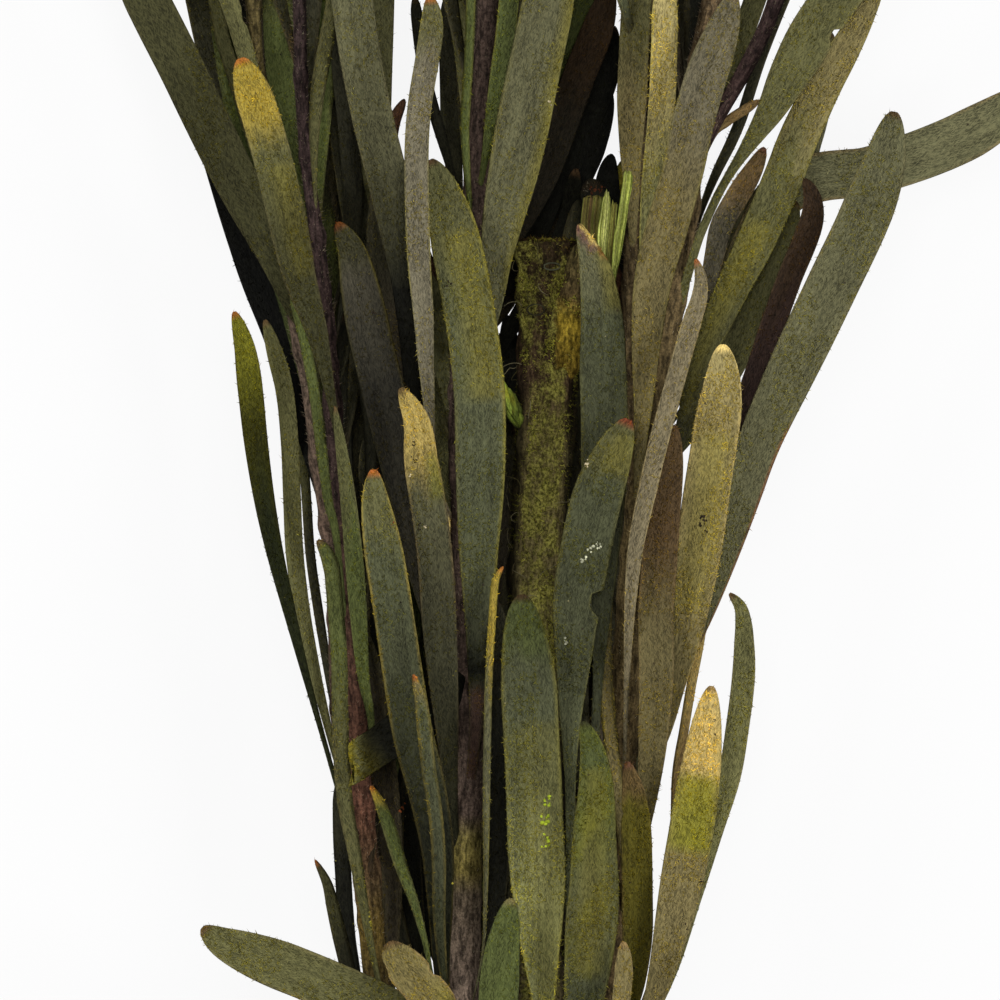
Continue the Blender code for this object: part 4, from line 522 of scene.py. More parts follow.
def heights(blades, rows, owners, passes=130):
    """Settle the height of every blade so that those that cross in plan lie clear of each other."""
    n = len(blades)
    xy = np.stack([b["path"][:, :2] for b in blades]).reshape(-1, 2)
    target = np.stack([b["target"] for b in blades])
    half = np.stack([b["half"] for b in blades])
    roll = np.array([b["roll"] for b in blades])[:, None]
    extra = np.array([b["extra"] for b in blades])[:, None]
    reach = (half * np.abs(np.cos(roll)) + 0.45).ravel()
    depth = (0.5 * BLADE_THICK + half * (np.abs(np.sin(roll)) + CUP * np.cos(roll) * 0.6) + extra).ravel()
    t = np.tile(np.linspace(0, 1, SAMPLES), n)
    owner = np.repeat(np.arange(n), SAMPLES)
    free = np.array([0.0 if b["flat"] else 1.0 for b in blades])[:, None]
    low = np.where(free > 0, depth.reshape(n, -1) + 0.1, -9)

    # pairs of blade points that lie over each other
    order = np.argsort(xy[:, 1])
    ys = xy[order, 1]
    first, second = [], []
    for k, a in enumerate(order):
        end = np.searchsorted(ys, ys[k] + 10.5)
        others = order[k + 1:end]
        others = others[owner[others] != owner[a]]
        near = np.hypot(*(xy[others] - xy[a]).T) < reach[others] + reach[a]
        others = others[near & (t[others] > 0.1) & (t[a] > 0.1)]
        first.append(np.full(len(others), a))
        second.append(others)
    first, second = np.concatenate(first), np.concatenate(second)
    flat_target = target.ravel()
    pair = np.minimum(owner[first], owner[second]) * n + np.maximum(owner[first], owner[second])
    lower_first = owner[first] < owner[second]
    difference = np.where(lower_first, 1, -1) * (flat_target[first] - flat_target[second])
    _, back = np.unique(pair, return_inverse=True)
    vote = np.bincount(back, weights=difference)
    sign = np.where(vote[back] >= 0, 1, -1) * np.where(lower_first, 1, -1)

    # blade points over stems
    tube_a, tube_b = [], []
    names = np.array(owners)
    own = np.array([b["stem"] for b in blades])[owner]
    for k, (x, y, _, r) in enumerate(rows):
        lo, hi = np.searchsorted(ys, (y - 11, y + 11))
        near = order[lo:hi]
        mine = own[near] == names[k]
        span = np.hypot(xy[near, 0] - x, xy[near, 1] - y) < reach[near] + r + 0.3
        near = near[span & (t[near] > np.where(mine, 0.2, 0.06))]
        tube_a.append(near)
        tube_b.append(np.full(len(near), k))
    tube_a, tube_b = np.concatenate(tube_a), np.concatenate(tube_b)
    stem_names, stem_index = np.unique(names, return_inverse=True)
    tube_key = owner[tube_a] * len(stem_names) + stem_index[tube_b]
    _, back = np.unique(tube_key, return_inverse=True)
    vote = np.bincount(back, weights=flat_target[tube_a] - rows[tube_b, 2])
    tube_sign = np.where(vote[back] >= 0, 1, -1)

    z = target.copy()
    for step in range(passes):
        flat = z.ravel()
        up = np.zeros(flat.size)
        down = np.zeros(flat.size)
        lack = depth[first] + depth[second] + 0.3 - sign * (flat[first] - flat[second])
        bad = lack > 0
        a, b, s, l = first[bad], second[bad], sign[bad], lack[bad]
        np.maximum.at(up, np.where(s > 0, a, b), l)
        np.maximum.at(down, np.where(s > 0, b, a), l)
        up *= 0.5
        down *= 0.5
        lack = depth[tube_a] + rows[tube_b, 3] + 0.5 - tube_sign * (flat[tube_a] - rows[tube_b, 2])
        bad = lack > 0
        a, s, l = tube_a[bad], tube_sign[bad], lack[bad]
        np.maximum.at(up, a[s > 0], l[s > 0])
        np.maximum.at(down, a[s < 0], l[s < 0])
        z = z + free * 0.8 * (up - down).reshape(n, -1)
        offset = z - target
        offset[:, 0] = 0
        for _ in range(2):
            offset[:, 1:-1] = 0.25 * offset[:, :-2] + 0.5 * offset[:, 1:-1] + 0.25 * offset[:, 2:]
            offset[:, -1] = 0.5 * offset[:, -1] + 0.5 * (2 * offset[:, -2] - offset[:, -3])
        offset *= 1.0 if step > passes - 20 else 0.995
        z = np.maximum(target + offset, low)
    for blade, row in zip(blades, z):
        blade["path"][:, 2] = row


def stations(blade, shares):
    """Centres, side vectors, face normals and half widths of a blade at shares of its length."""
    t = np.linspace(0, 1, SAMPLES)
    centre, later, sooner = (read_rows(at, t, blade["path"]) for at in
                             (shares, np.minimum(shares + 0.04, 1), np.maximum(shares - 0.04, 0)))
    side, normal = level_frame(units(later - sooner))
    c, s = math.cos(blade["roll"]), math.sin(blade["roll"])
    side, normal = side * c + normal * s, normal * c - side * s
    half = np.interp(shares, t, blade["half"])
    return centre, side, normal, half


# Shares of their length at which drawn, rule and short blades have a ring
DRAWN = np.array([0.0, 0.16, 0.36, 0.58, 0.79, 0.91, 0.98])
RULED = np.array([0.0, 0.24, 0.52, 0.79, 0.96])
SHORT = np.array([0.0, 0.34, 0.68, 0.94])


def blade_mesh(blade):
    """Vertices and triangles of one blade: rings of edge, midrib top, edge and keel, and a point as tip."""
    shares = (DRAWN if blade["hand"] else RULED) if path_length(blade["path"]) > 34 else SHORT
    centre, side, normal, half = stations(blade, shares)
    half = np.maximum(half, 0.45)
    if not blade["hand"]:
        return keeled(centre, side, normal, half, blade["path"][-1])
    thick = np.full(len(shares), 0.5 * BLADE_THICK)
    return loft(centre, side, normal, half, thick, blade["path"][-1], blade["flat"])


def keeled(centre, side, normal, half, tip):
    """Three-point rings with a keel underneath, for blades that few see."""
    verts, faces = [], []
    for c, s, n, h in zip(centre, side, normal, half):
        rise = n * 0.35 * BLADE_THICK
        verts += [c - s * h + rise, c + s * h + rise, c - n * 0.65 * BLADE_THICK]
    for i in range(len(centre) - 1):
        a, b = 3 * i, 3 * i + 3
        faces += [(a, a + 1, b + 1), (a, b + 1, b), (a, b, b + 2), (a, b + 2, a + 2), (a + 2, b + 2, a + 1),
                  (a + 1, b + 2, b + 1)]
    last = 3 * (len(centre) - 1)
    verts.append(np.asarray(tip, float))
    faces += [(last, last + 1, last + 3), (last + 1, last + 2, last + 3), (last + 2, last, last + 3),
              (0, 2, 1)]
    return verts, faces


def loft(centre, side, normal, half, thick, tip, flat=False):
    """Four-point rings joined alike on both faces."""
    verts, faces = [], []
    cup = 0.0 if flat else CUP
    for c, s, n, h, t in zip(centre, side, normal, half, thick):
        lift = n * (cup * h)
        if flat:
            verts += [c - s * h, c + n * 2 * t, c + s * h, c]
        else:
            verts += [c - s * h + lift, c + n * t, c + s * h + lift, c - n * t]
    count = len(centre)
    for i in range(count - 1):
        a, b = 4 * i, 4 * i + 4
        faces += [(a, b + 1, b), (a, a + 1, b + 1), (a + 1, a + 2, b + 1), (a + 2, b + 2, b + 1)]
        faces += [(a, b, b + 3), (a, b + 3, a + 3), (a + 3, b + 3, a + 2), (a + 2, b + 3, b + 2)]
    last = 4 * (count - 1)
    verts.append(np.asarray(tip, float))
    point = 4 * count
    faces += [(last, last + 1, point), (last + 1, last + 2, point), (last + 2, last + 3, point),
              (last + 3, last, point), (0, 3, 1), (1, 3, 2)]
    return verts, faces


def clear_blades(blades, rows, owners, rounds=6):
    """Settle heights until no blade crosses another shoot; a rule blade that still does is left out."""
    shoot = {stem: node for node, stems in SHOOTS.items() for stem in stems}
    for turn in range(rounds):
        heights(blades, rows, owners)
        trees = []
        for blade in blades:
            verts, faces = blade_mesh(blade)
            tree = BVHTree.FromPolygons([Vector(v) for v in verts], faces)
            trees.append((tree, np.min(verts, axis=0) - 0.2, np.max(verts, axis=0) + 0.2))
        crossed = []
        for i, a in enumerate(blades):
            for j in range(i + 1, len(blades)):
                b = blades[j]
                if np.any(trees[i][1] > trees[j][2]) or np.any(trees[j][1] > trees[i][2]):
                    continue
                if trees[i][0].overlap(trees[j][0]):
                    crossed.append((i, j, shoot[a["stem"]] != shoot[b["stem"]]))
        for i, j, other in crossed:
            blades[i]["extra"] += 0.35 if other else 0.1
            blades[j]["extra"] += 0.35 if other else 0.1
        if turn > 2 and not any(other for _, _, other in crossed):
            break
        if turn >= rounds - 3:
            drop = {j if not blades[j]["hand"] else i for i, j, other in crossed
                    if other and not (blades[i]["hand"] and blades[j]["hand"])}
            blades = [b for k, b in enumerate(blades) if k not in drop]
    return blades


# Colours, as light values

def tint(r, g, b):
    """A display colour as light values."""
    return tuple(((c / 255.0 + 0.055) / 1.055) ** 2.4 if c > 10 else c / 3294.6 for c in (r, g, b))


PALETTE = {
    "olive": tint(88, 87, 54), "blue": tint(78, 81, 57), "grey": tint(94, 93, 66),
    # dark and deep, the darkest tones, colour leaves that lie in shade deep in the bunch: painted shade
    "khaki": tint(118, 108, 70), "dark": tint(50, 49, 34), "plum": tint(66, 60, 46),
    "green": tint(80, 88, 46), "yellow": tint(158, 138, 54), "cream": tint(196, 172, 104),
    "tan": tint(144, 118, 76), "orange": tint(162, 92, 40), "brown": tint(88, 66, 42),
    "red": tint(128, 60, 38), "lime": tint(128, 126, 32), "pink": tint(146, 100, 80),
    "deep": tint(26, 26, 18), "moss": tint(124, 116, 40), "stone": tint(132, 122, 94),
    "ash": tint(108, 103, 84), "straw": tint(180, 158, 88), "bud": tint(126, 144, 54),
    "rust": tint(74, 50, 34), "purple": tint(92, 70, 62),
}

# How each drawn leaf is coloured: body, tip band colour, its length share, point colour, edge colour and
# amount, dust; the SHADED and the black look are painted shade, for leaves that lie deep in the bunch
PLAIN = ("olive", "olive", 0.2, "brown", "khaki", 0.2, 0.2)
SHADED = ("dark", "dark", 0.2, "brown", "dark", 0.1, 0.1)
DEEP_SHADE_LOOK = ("deep", "deep", 0.2, "deep", "dark", 0.1, 0)
LOOKS = {
    "A1": ("olive", "olive", 0.1, "tan", "khaki", 0.2, 0.35),
    "A2": ("olive", "yellow", 0.14, "orange", "khaki", 0.5, 0.4),
    "A12b": ("rust", "rust", 0.2, "rust", "rust", 0.1, 0.05),
    "F2b": ("dark", "olive", 0.2, "brown", "khaki", 0.2, 0.2),
    "A3": ("deep", "dark", 0.2, "brown", "dark", 0.1, 0.1),
    "A4": ("green", "green", 0.2, "green", "green", 0, 0.2), "A5": PLAIN, "A6": PLAIN,
    "A8": ("olive", "olive", 0.2, "brown", "khaki", 0.3, 0.3),
    "A9": ("green", "olive", 0.2, "brown", "dark", 0.1, 0.2), "A10": SHADED,
    "A11": ("grey", "grey", 0.2, "tan", "khaki", 0.3, 0.25), "A12": PLAIN,
    "A13": ("ash", "olive", 0.1, "orange", "moss", 0.55, 0.35), "A14": SHADED,
    "A15": ("blue", "olive", 0.16, "rust", "moss", 0.4, 0.5),
    "A16": ("olive", "olive", 0.2, "brown", "khaki", 0.1, 0.2),
    "A17": ("ash", "olive", 0.1, "orange", "moss", 0.6, 0.25), "A18": SHADED, "A19": SHADED,
    "A22": ("dark", "brown", 0.2, "brown", "dark", 0.1, 0.1), "B1a": SHADED, "B1b": PLAIN,
    "B1c": ("green", "green", 0.5, "tan", "moss", 0.4, 0.4),
    "B2": ("green", "green", 0.2, "tan", "moss", 0.5, 0.6),
    "B3": ("grey", "grey", 0.3, "tan", "moss", 0.35, 0.4),
    "B4": ("plum", "brown", 0.3, "brown", "dark", 0.1, 0.1),
    "B5": ("deep", "deep", 0.2, "brown", "dark", 0.1, 0.05),
    "B6": ("khaki", "olive", 0.4, "brown", "khaki", 0.3, 0.4),
    "B7": ("olive", "khaki", 0.4, "tan", "moss", 0.4, 0.8),
    "B8": ("khaki", "ash", 0.3, "tan", "moss", 0.35, 0.45),
    "D15": ("deep", "deep", 0.2, "brown", "dark", 0, 0),
    "D16": ("deep", "deep", 0.3, "deep", "dark", 0.1, 0.1), "C2": PLAIN,
    "C3": ("dark", "dark", 0.2, "brown", "khaki", 0.2, 0.1),
    "C4": ("khaki", "tan", 0.4, "tan", "tan", 0.3, 0.1),
    "C5": ("olive", "olive", 0.2, "tan", "khaki", 0.35, 0.35),
    "C6": ("grey", "olive", 0.2, "brown", "khaki", 0.2, 0.2),
    "C7": ("olive", "khaki", 0.3, "tan", "moss", 0.4, 0.6),
    "C8": ("grey", "grey", 0.2, "tan", "tan", 0.4, 0.3),
    "C9": ("grey", "grey", 0.1, "brown", "khaki", 0.35, 0.45),
    "C10": ("purple", "brown", 0.3, "brown", "tan", 0.4, 0.2),
    "C11": ("olive", "olive", 0.2, "brown", "khaki", 0.2, 0.3),
    "C12": ("ash", "tan", 0.2, "pink", "tan", 0.4, 0.3),
    "C13": ("stone", "stone", 0.3, "orange", "cream", 0.4, 0.1),
    "D1": ("blue", "grey", 0.12, "orange", "moss", 0.3, 0.3),
    "D2": ("blue", "olive", 0.1, "red", "moss", 0.35, 0.55),
    "D3": ("blue", "green", 0.1, "rust", "moss", 0.4, 0.8),
    "D5": ("grey", "yellow", 0.22, "orange", "moss", 0.5, 0.3),
    "D6": ("green", "green", 0.1, "khaki", "dark", 0.2, 0.2),
    "D7": ("blue", "green", 0.3, "dark", "moss", 0.4, 0.95),
    "D8": ("moss", "tan", 0.1, "pink", "tan", 0.4, 0.4),
    "D9": ("khaki", "khaki", 0.3, "tan", "tan", 0.3, 0.5),
    "D10": ("khaki", "brown", 0.3, "brown", "tan", 0.35, 0.35),
    "D11": ("khaki", "khaki", 0.2, "cream", "cream", 0.35, 0.7),
    "D12": ("khaki", "khaki", 0.1, "brown", "moss", 0.4, 0.6),
    "E1": ("olive", "olive", 0.2, "brown", "khaki", 0.45, 0.4),
    "E2": ("khaki", "cream", 0.2, "tan", "khaki", 0.3, 0.6),
    "E3": ("tan", "cream", 0.3, "tan", "cream", 0.3, 0.1),
    "F1": ("green", "lime", 0.3, "orange", "brown", 0.4, 0.25),
    "F2": ("olive", "olive", 0.2, "brown", "khaki", 0.2, 0.3),
    "F3": ("green", "green", 0.2, "brown", "khaki", 0.2, 0.3),
    "F4": ("olive", "green", 0.3, "brown", "khaki", 0.3, 0.4),
    "F5": ("green", "olive", 0.3, "brown", "khaki", 0.2, 0.3),
    "F6": ("olive", "moss", 0.2, "moss", "moss", 0.3, 0.5),
    "F7": ("blue", "olive", 0.11, "orange", "yellow", 0.65, 0.35),
    "F8": ("grey", "straw", 0.17, "brown", "tan", 0.35, 0.3),
    "F9": ("blue", "khaki", 0.06, "orange", "yellow", 0.5, 0.3),
    "F10": ("green", "yellow", 0.07, "orange", "khaki", 0.4, 0.2),
    "F11": ("dark", "olive", 0.2, "tan", "khaki", 0.5, 0.2),
    "F12": ("dark", "olive", 0.3, "orange", "khaki", 0.3, 0.1),
    "F13": ("deep", "dark", 0.2, "brown", "dark", 0.1, 0.1),
    "F14": ("olive", "olive", 0.2, "brown", "khaki", 0.4, 0.6),
    "F15": ("moss", "khaki", 0.4, "brown", "tan", 0.6, 0.5),
    "F16": ("deep", "deep", 0.2, "brown", "dark", 0, 0),
    "bud": ("bud", "lime", 0.4, "bud", "green", 0.6, 0.2),
    "K10": ("rust", "moss", 0.3, "dark", "moss", 0.3, 0.5),
    "K11": ("dark", "brown", 0.2, "dark", "dark", 0.1, 0.1),
    "K12": ("green", "green", 0.2, "green", "dark", 0.2, 0.3), "K13": DEEP_SHADE_LOOK, "K14": DEEP_SHADE_LOOK,
    "K15": ("cream", "cream", 0.2, "ash", "ash", 0.3, 0), "K16": DEEP_SHADE_LOOK,
}
RULE_BODIES = ("olive", "grey", "green", "blue", "plum", "khaki", "olive", "dark")
RULE_TIPS = ("yellow", "olive", "khaki", "grey", "olive", "yellow")

# Painted shade and painted light: how much of the light each leaf keeps, as a share that its tone is
# multiplied by, below 1 for shade and above 1 for light; one share, or places along Y with the share there
USUAL_PAINTED_SHADE = 0.75
PAINTED_SHADES = {
    "A1": ((40, 0.32), (80, 0.42)), "A2": ((20, 0.26), (50, 0.4), (64, 0.82)), "A3": ((0, 0.12), (90, 0.14)),
    "A4": 0.5, "A5": 0.8, "A9": ((40, 0.6), (80, 0.8)), "A10": 0.5, "A11": ((38, 0.02), (50, 0.3), (70, 0.7)),
    "A12": 0.5, "A13": ((0, 0.7), (50, 0.8)), "A14": 0.3,
    "A15": ((-36, 0.5), (-31, 0.04), (-14, 0.6), (10, 0.8), (40, 0.82)), "A16": ((-36, 0.4), (0, 0.6)),
    "A17": ((-10, 0.12), (20, 0.07), (46, 0.28)), "A18": 0.4, "A19": 0.35, "B3": ((40, 0.6), (60, 0.66)),
    "B4": 0.35, "B5": 0.5, "B7": 1.6, "B8": 0.62, "C7": ((0, 0.2), (20, 0.22), (45, 0.8), (60, 0.95)),
    "C8": 0.9, "C9": ((0, 0.76), (60, 0.72)), "C10": 0.25, "C13": 0.6,
    "D1": ((0, 0.38), (25, 0.55), (42, 0.75)),
    "D2": ((-56, 1.0), (-44, 0.85), (-30, 0.5), (0, 0.6), (10, 0.72)),
    "D3": ((-95, 2.7), (-72, 1.6), (-50, 0.74), (-30, 0.6), (-20, 0.5)), "D7": 0.62,
    "D8": ((-90, 0.3), (-50, 0.42)), "D10": 0.52, "D11": ((-40, 0.55), (0, 0.85), (25, 1.25)), "E1": 1.1,
    "E2": ((-90, 0.66), (-50, 0.76), (-40, 0.76)), "F1": ((-20, 0.16), (14, 0.16), (28, 0.7)), "F2": 1.3,
    "F4": 0.9, "F6": ((-46, 0.2), (-43.6, 0.03)), "F7": ((-60, 0.12), (-30, 0.5), (-5, 0.9)),
    "F8": ((-60, 0.16), (-20, 0.3), (5, 0.64)), "F9": ((-70, 0.4), (-35, 0.7)), "F11": 0.5, "F12": 0.5,
    "F14": 0.9, "D16": 0.3, "bud": ((12, 0.12), (16, 0.5), (21, 0.85)), "K10": 1.0, "K11": 0.3, "K12": 0.5,
    "K13": 0.6, "K14": 0.4, "K15": 1.2, "K16": 0.4,
}

# Patches of another colour on drawn leaves: from and to along Y, place across, spread, colour, amount
PATCHES = {
    "A15": [(18, 48, 0.2, 0.9, "moss", 0.4), (-30, 56, 0.95, 0.12, "moss", 0.5),
            (-60, -33.5, 0.0, 1.8, "purple", 0.9)],
    "A16": [(-95, -33, 0.0, 1.8, "purple", 0.9)], "B3": [(38, 92, 0.8, 0.3, "moss", 0.5)],
    "F8": [(0, 8, 0.7, 0.5, "lime", 0.5)],
    "D1": [(34, 45.5, 0.7, 0.5, "moss", 0.5), (43.6, 45.8, 0.95, 0.3, "orange", 0.9)],
    "D2": [(5, 12, 0.3, 0.9, "moss", 0.4)], "A17": [(10, 46, 0.95, 0.1, "yellow", 0.6)],
    "E2": [(-63, -49.5, 0.0, 1.6, "lime", 0.8), (-50, -41, 0.8, 0.5, "straw", 0.6)],
    "D3": [(-95, -40, 0.5, 1.8, "moss", 0.22), (-64, -51, 0.26, 0.12, "lime", 0.95),
           (-28, -20, 0.2, 0.8, "green", 0.6)],
    "C9": [(-40, 15, 0.97, 0.08, "red", 0.6)], "A2": [(40, 60, 0.3, 0.9, "moss", 0.4)],
    "C7": [(15, 50, -0.2, 0.9, "moss", 0.45)], "D11": [(-20, 12, 0.0, 1.0, "moss", 0.35)],
    "D7": [(-85, -48, 0.0, 1.0, "moss", 0.4)], "A11": [(10, 40, 0.1, 0.9, "moss", 0.25)],
}
PATCH_FADE = 2.4        # over how much of Y a patch fades out
# Bites out of a leaf's edge: from and to along Y, side, depth
BITES = {
    "D2": [(-20, -15.5, 1, 1.9)], "C5": [(84, 87, 1, 1.2)],
    "F15": [(-87, -85, 1, 0.7), (-82.5, -81, -1, 0.5)], "D8": [(-57, -55, -1, 0.4)], "A6": [(86, 88, 1, 0.6)],
}
# Leaves cut across in place of a tip: two points of the cut, how ragged, and its rim and band colours
CUTS = {"D1": ((13.9, 50.2), (17.7, 45.4), 0.25, "straw", "purple"),
        "F6": ((-26.6, -52.0), (-27.1, -42.0), 0.9, "moss", "olive")}
BLUNT = {"F6": 0.9}     # least share of its width that a leaf keeps up to its tip
# Length of the taper to the tip, for the leaf's width, where it isn't the usual one
USUAL_TAPER = 1.75
TAPERS = {
    "A2": 1.2, "A13": 1.6, "A15": 2.1, "A17": 2.4, "B8": 2.0, "C7": 5.0, "C9": 2.0, "C10": 2.4, "C12": 2.2,
    "C13": 4.0, "D1": 3.3, "D5": 3.0, "D6": 2.2, "D7": 4.2, "D8": 2.6, "D10": 2.2, "E1": 4.0, "E2": 2.9,
    "F1": 3.0, "F2": 3.0, "F5": 9.0, "F7": 2.4, "F8": 2.8, "F9": 4.0, "F10": 4.5, "F12": 6.0, "F14": 1.9,
    "F15": 0.9,
}
# Places across the upper face of a wide drawn leaf, close together where its edges roll
ROLLED_EDGES = np.array([-1, -0.94, -0.82, -0.42, 0, 0.42, 0.82, 0.94, 1])
# Tones of the young stems along Y
STEM_TONES = {
    "S1": [(-72, (88, 66, 50)), (-20, (100, 80, 68)), (20, (104, 88, 74)), (50, (78, 62, 52)),
           (78, (96, 84, 50)), (170, (88, 78, 56))],
    "S2": [(-150, (84, 68, 48)), (-90, (88, 74, 44)), (-78, (104, 86, 40)), (-70, (84, 68, 44)),
           (-56, (90, 60, 46)), (-20, (72, 52, 42)), (2, (60, 46, 42)), (90, (58, 46, 44)),
           (180, (88, 78, 56))],
    "S3": [(-140, (84, 70, 50)), (-88, (116, 100, 86)), (-71, (90, 78, 62)), (-67, (112, 100, 52)),
           (-61, (106, 96, 52)), (-57, (84, 70, 60)), (-20, (70, 56, 48)), (92, (76, 62, 54)),
           (190, (88, 78, 56))],
    "S4": [(-10, (82, 68, 44)), (140, (86, 74, 52))],
    "S5": [(-135, (84, 68, 46)), (0, (94, 80, 50)), (92, (92, 76, 54)), (175, (90, 80, 60))],
    "S6": [(50, (66, 50, 44)), (92, (60, 46, 44)), (150, (84, 72, 54))],
    "S7": [(-136, (86, 70, 50)), (-50, (92, 84, 58))],
}

# First numbers of the bodies that aren't in the plan; a body's number gives it its own waves
BUD_NUMBER, SCRAP_NUMBER, HEAD_NUMBER = 500, 520, 700

# Small leaves low between the others, most of them dark fillers for gaps that hold only shade: painted
# shade; stem, width, points, height
SCRAPS = {
    "K10": ("S5", 4.8, [(21.9, 34), (21.8, 42), (22.1, 50), (22.5, 62)], 19.0),
    "K11": ("S5", 5.0, [(17.6, 50), (17.4, 53), (16.8, 56), (16.4, 58.4)], 24.0),
    "K12": ("S3", 4.0, [(-12.6, -10), (-13.3, -22), (-13.8, -34), (-13.6, -46)], 3.2),
    "K13": ("S3", 3.8, [(2.4, 12), (2.2, 20), (1.8, 27), (1.3, 34)], 8.0),
    "K16": ("S4", 2.8, [(16.3, -20), (16.4, -28), (16.0, -36), (15.6, -44)], 6.0),
    "K14": ("S4", 4.4, [(13.6, 49), (15.2, 58), (17.6, 66), (20.2, 75)], 8.0),
    "K15": ("S3", 0.9, [(-8.8, -9.2), (-9.2, -6), (-9.6, -2)], 31.0),
}

# Old wood and twig: tones along Y, and knots as place, height and spread
WOOD_TONES = [(-200, (92, 76, 50)), (-90, (104, 94, 64)), (10, (116, 104, 66)), (22, (84, 66, 48)),
              (34, (64, 50, 34)), (47, (56, 44, 28))]
TWIG_TONES = [(18, (100, 84, 50)), (24, (128, 106, 40)), (33, (146, 124, 40)), (37, (80, 66, 40)),
              (49, (96, 88, 50))]
WOOD_KNOTS = [((6.5, -14, 27), 0.5, 4), ((7.5, 22, 27), 0.5, 5), ((8.3, 45.5, 28), 0.5, 3)]
TWIG_END = (17.3, 46, 29.0, 2.2)        # where its bark ends, under the torn slabs
MOSS_TONES = ((200, 196, 74), (172, 172, 72), (150, 148, 56), (214, 206, 96), (120, 100, 56))
TUFT_TONES = ((104, 84, 40), (70, 54, 32), (126, 116, 46), (50, 38, 24))
FIBRE_TONES = ((140, 132, 100), (104, 98, 62), (84, 74, 50))
TUFTS = 1500            # on the cut top
FIBRES = 48
HAIRS = 7               # for each millimetre of a young stem
HAIR_TONES = ((140, 124, 104), (104, 86, 70), (168, 156, 128))
# Rings of fibre on the old wood: place, half width, half height, tone
RINGS = ((9.4, 42.2, 1.5, 0.65, (132, 134, 104)), (6.5, 34.4, 1.6, 1.0, (84, 84, 60)),
         (11.8, 21.8, 1.3, 0.8, (92, 70, 54)), (9.9, -4.0, 0.7, 0.9, (150, 138, 44)))

# Slabs of torn wood: rows of Y with left and right X, height, peaks of the torn top and streak colours
SLABS = [
    ([(38.6, 20.4, 20.8), (41.5, 20.1, 21.2), (44, 20.2, 21.8), (47, 20.5, 22.4), (50, 21, 22.8),
      (53, 21.5, 23.2), (56, 22, 23.8), (58.4, 22.3, 24.0)], 31.6, (0.6, 1.0, 0.9, 0.7, 0.0),
     ((196, 204, 104), (160, 174, 72), (208, 214, 124), (132, 146, 56), (104, 112, 44))),
    ([(42, 17.4, 19.0), (45, 17.9, 19.3), (46.5, 17.6, 19.5), (49, 17.6, 19.7), (52, 18.2, 20.0),
      (54.2, 18.6, 20.0)], 31.4, (0.0, 0.9, 1.9, 1.2, 0.3),
     ((214, 218, 116), (186, 196, 92), (150, 160, 62), (222, 224, 138), (116, 122, 46))),
    ([(42, 19.0, 20.3), (46, 19.3, 20.6), (50, 19.7, 21.0), (53.2, 20.1, 21.3)], 30.9,
     (0.2, 1.2, 0.1, 0.6, 0.0), ((166, 166, 76), (130, 120, 60), (188, 190, 104), (100, 88, 46))),
    ([(42, 14.2, 18.0), (46, 14.4, 18.1), (50, 14.6, 18.2), (54.6, 15.0, 18.6)], 30.2,
     (0.2, 0.3, 0.1, 0.2, 0.0), ((92, 96, 42), (110, 104, 50), (74, 62, 34), (96, 76, 44), (120, 122, 60))),
]
# Leaves of the small bud: turn round it, reach and width
BUD_LEAVES = ((-0.9, 0.86, 1.3), (-0.4, 1.0, 1.5), (0.2, 0.84, 1.4), (0.8, 0.7, 1.3), (-0.7, 0.6, 1.4),
              (0.0, 0.55, 1.6), (1.2, 0.5, 1.3), (0.4, 0.34, 1.8))

# Heads: rings of bracts as count, turn, rise, length, width, distance out at the foot and at the widest, and
# tuck of the tip; the cone as share of its half length and radius; its scales
BRACT_ROWS = ((7, 0.0, 6.4, 26.5, 5.2, 2.0, 7.4, 2.6), (6, 0.4, 7.0, 24.0, 5.0, 1.6, 5.7, 3.0),
              (8, 0.2, 3.4, 15.0, 4.6, 2.0, 7.5, 0.6), (7, 0.6, 1.2, 8.0, 3.4, 1.8, 4.6, -0.2))
CONE = ((-0.98, 1.6), (-0.6, 4.0), (0.0, 4.9), (0.55, 4.2), (0.98, 1.2))
SCALES = 90

# Loose threads and hairs on the leaves: piece, count, whether they are the yellow-green ones, lean along Y,
# light for that of the leaf under them, length, width
FUZZ = (("leaf_threads", 34000, True, (-1, 1), (3.0, 2.7, 1.1), (0.3, 0.9), (0.06, 0.12)),
        ("leaf_fuzz", 24000, False, (0.3, 1.6), (2.6, 2.5, 2.3), (0.4, 1.0), (0.04, 0.08)))

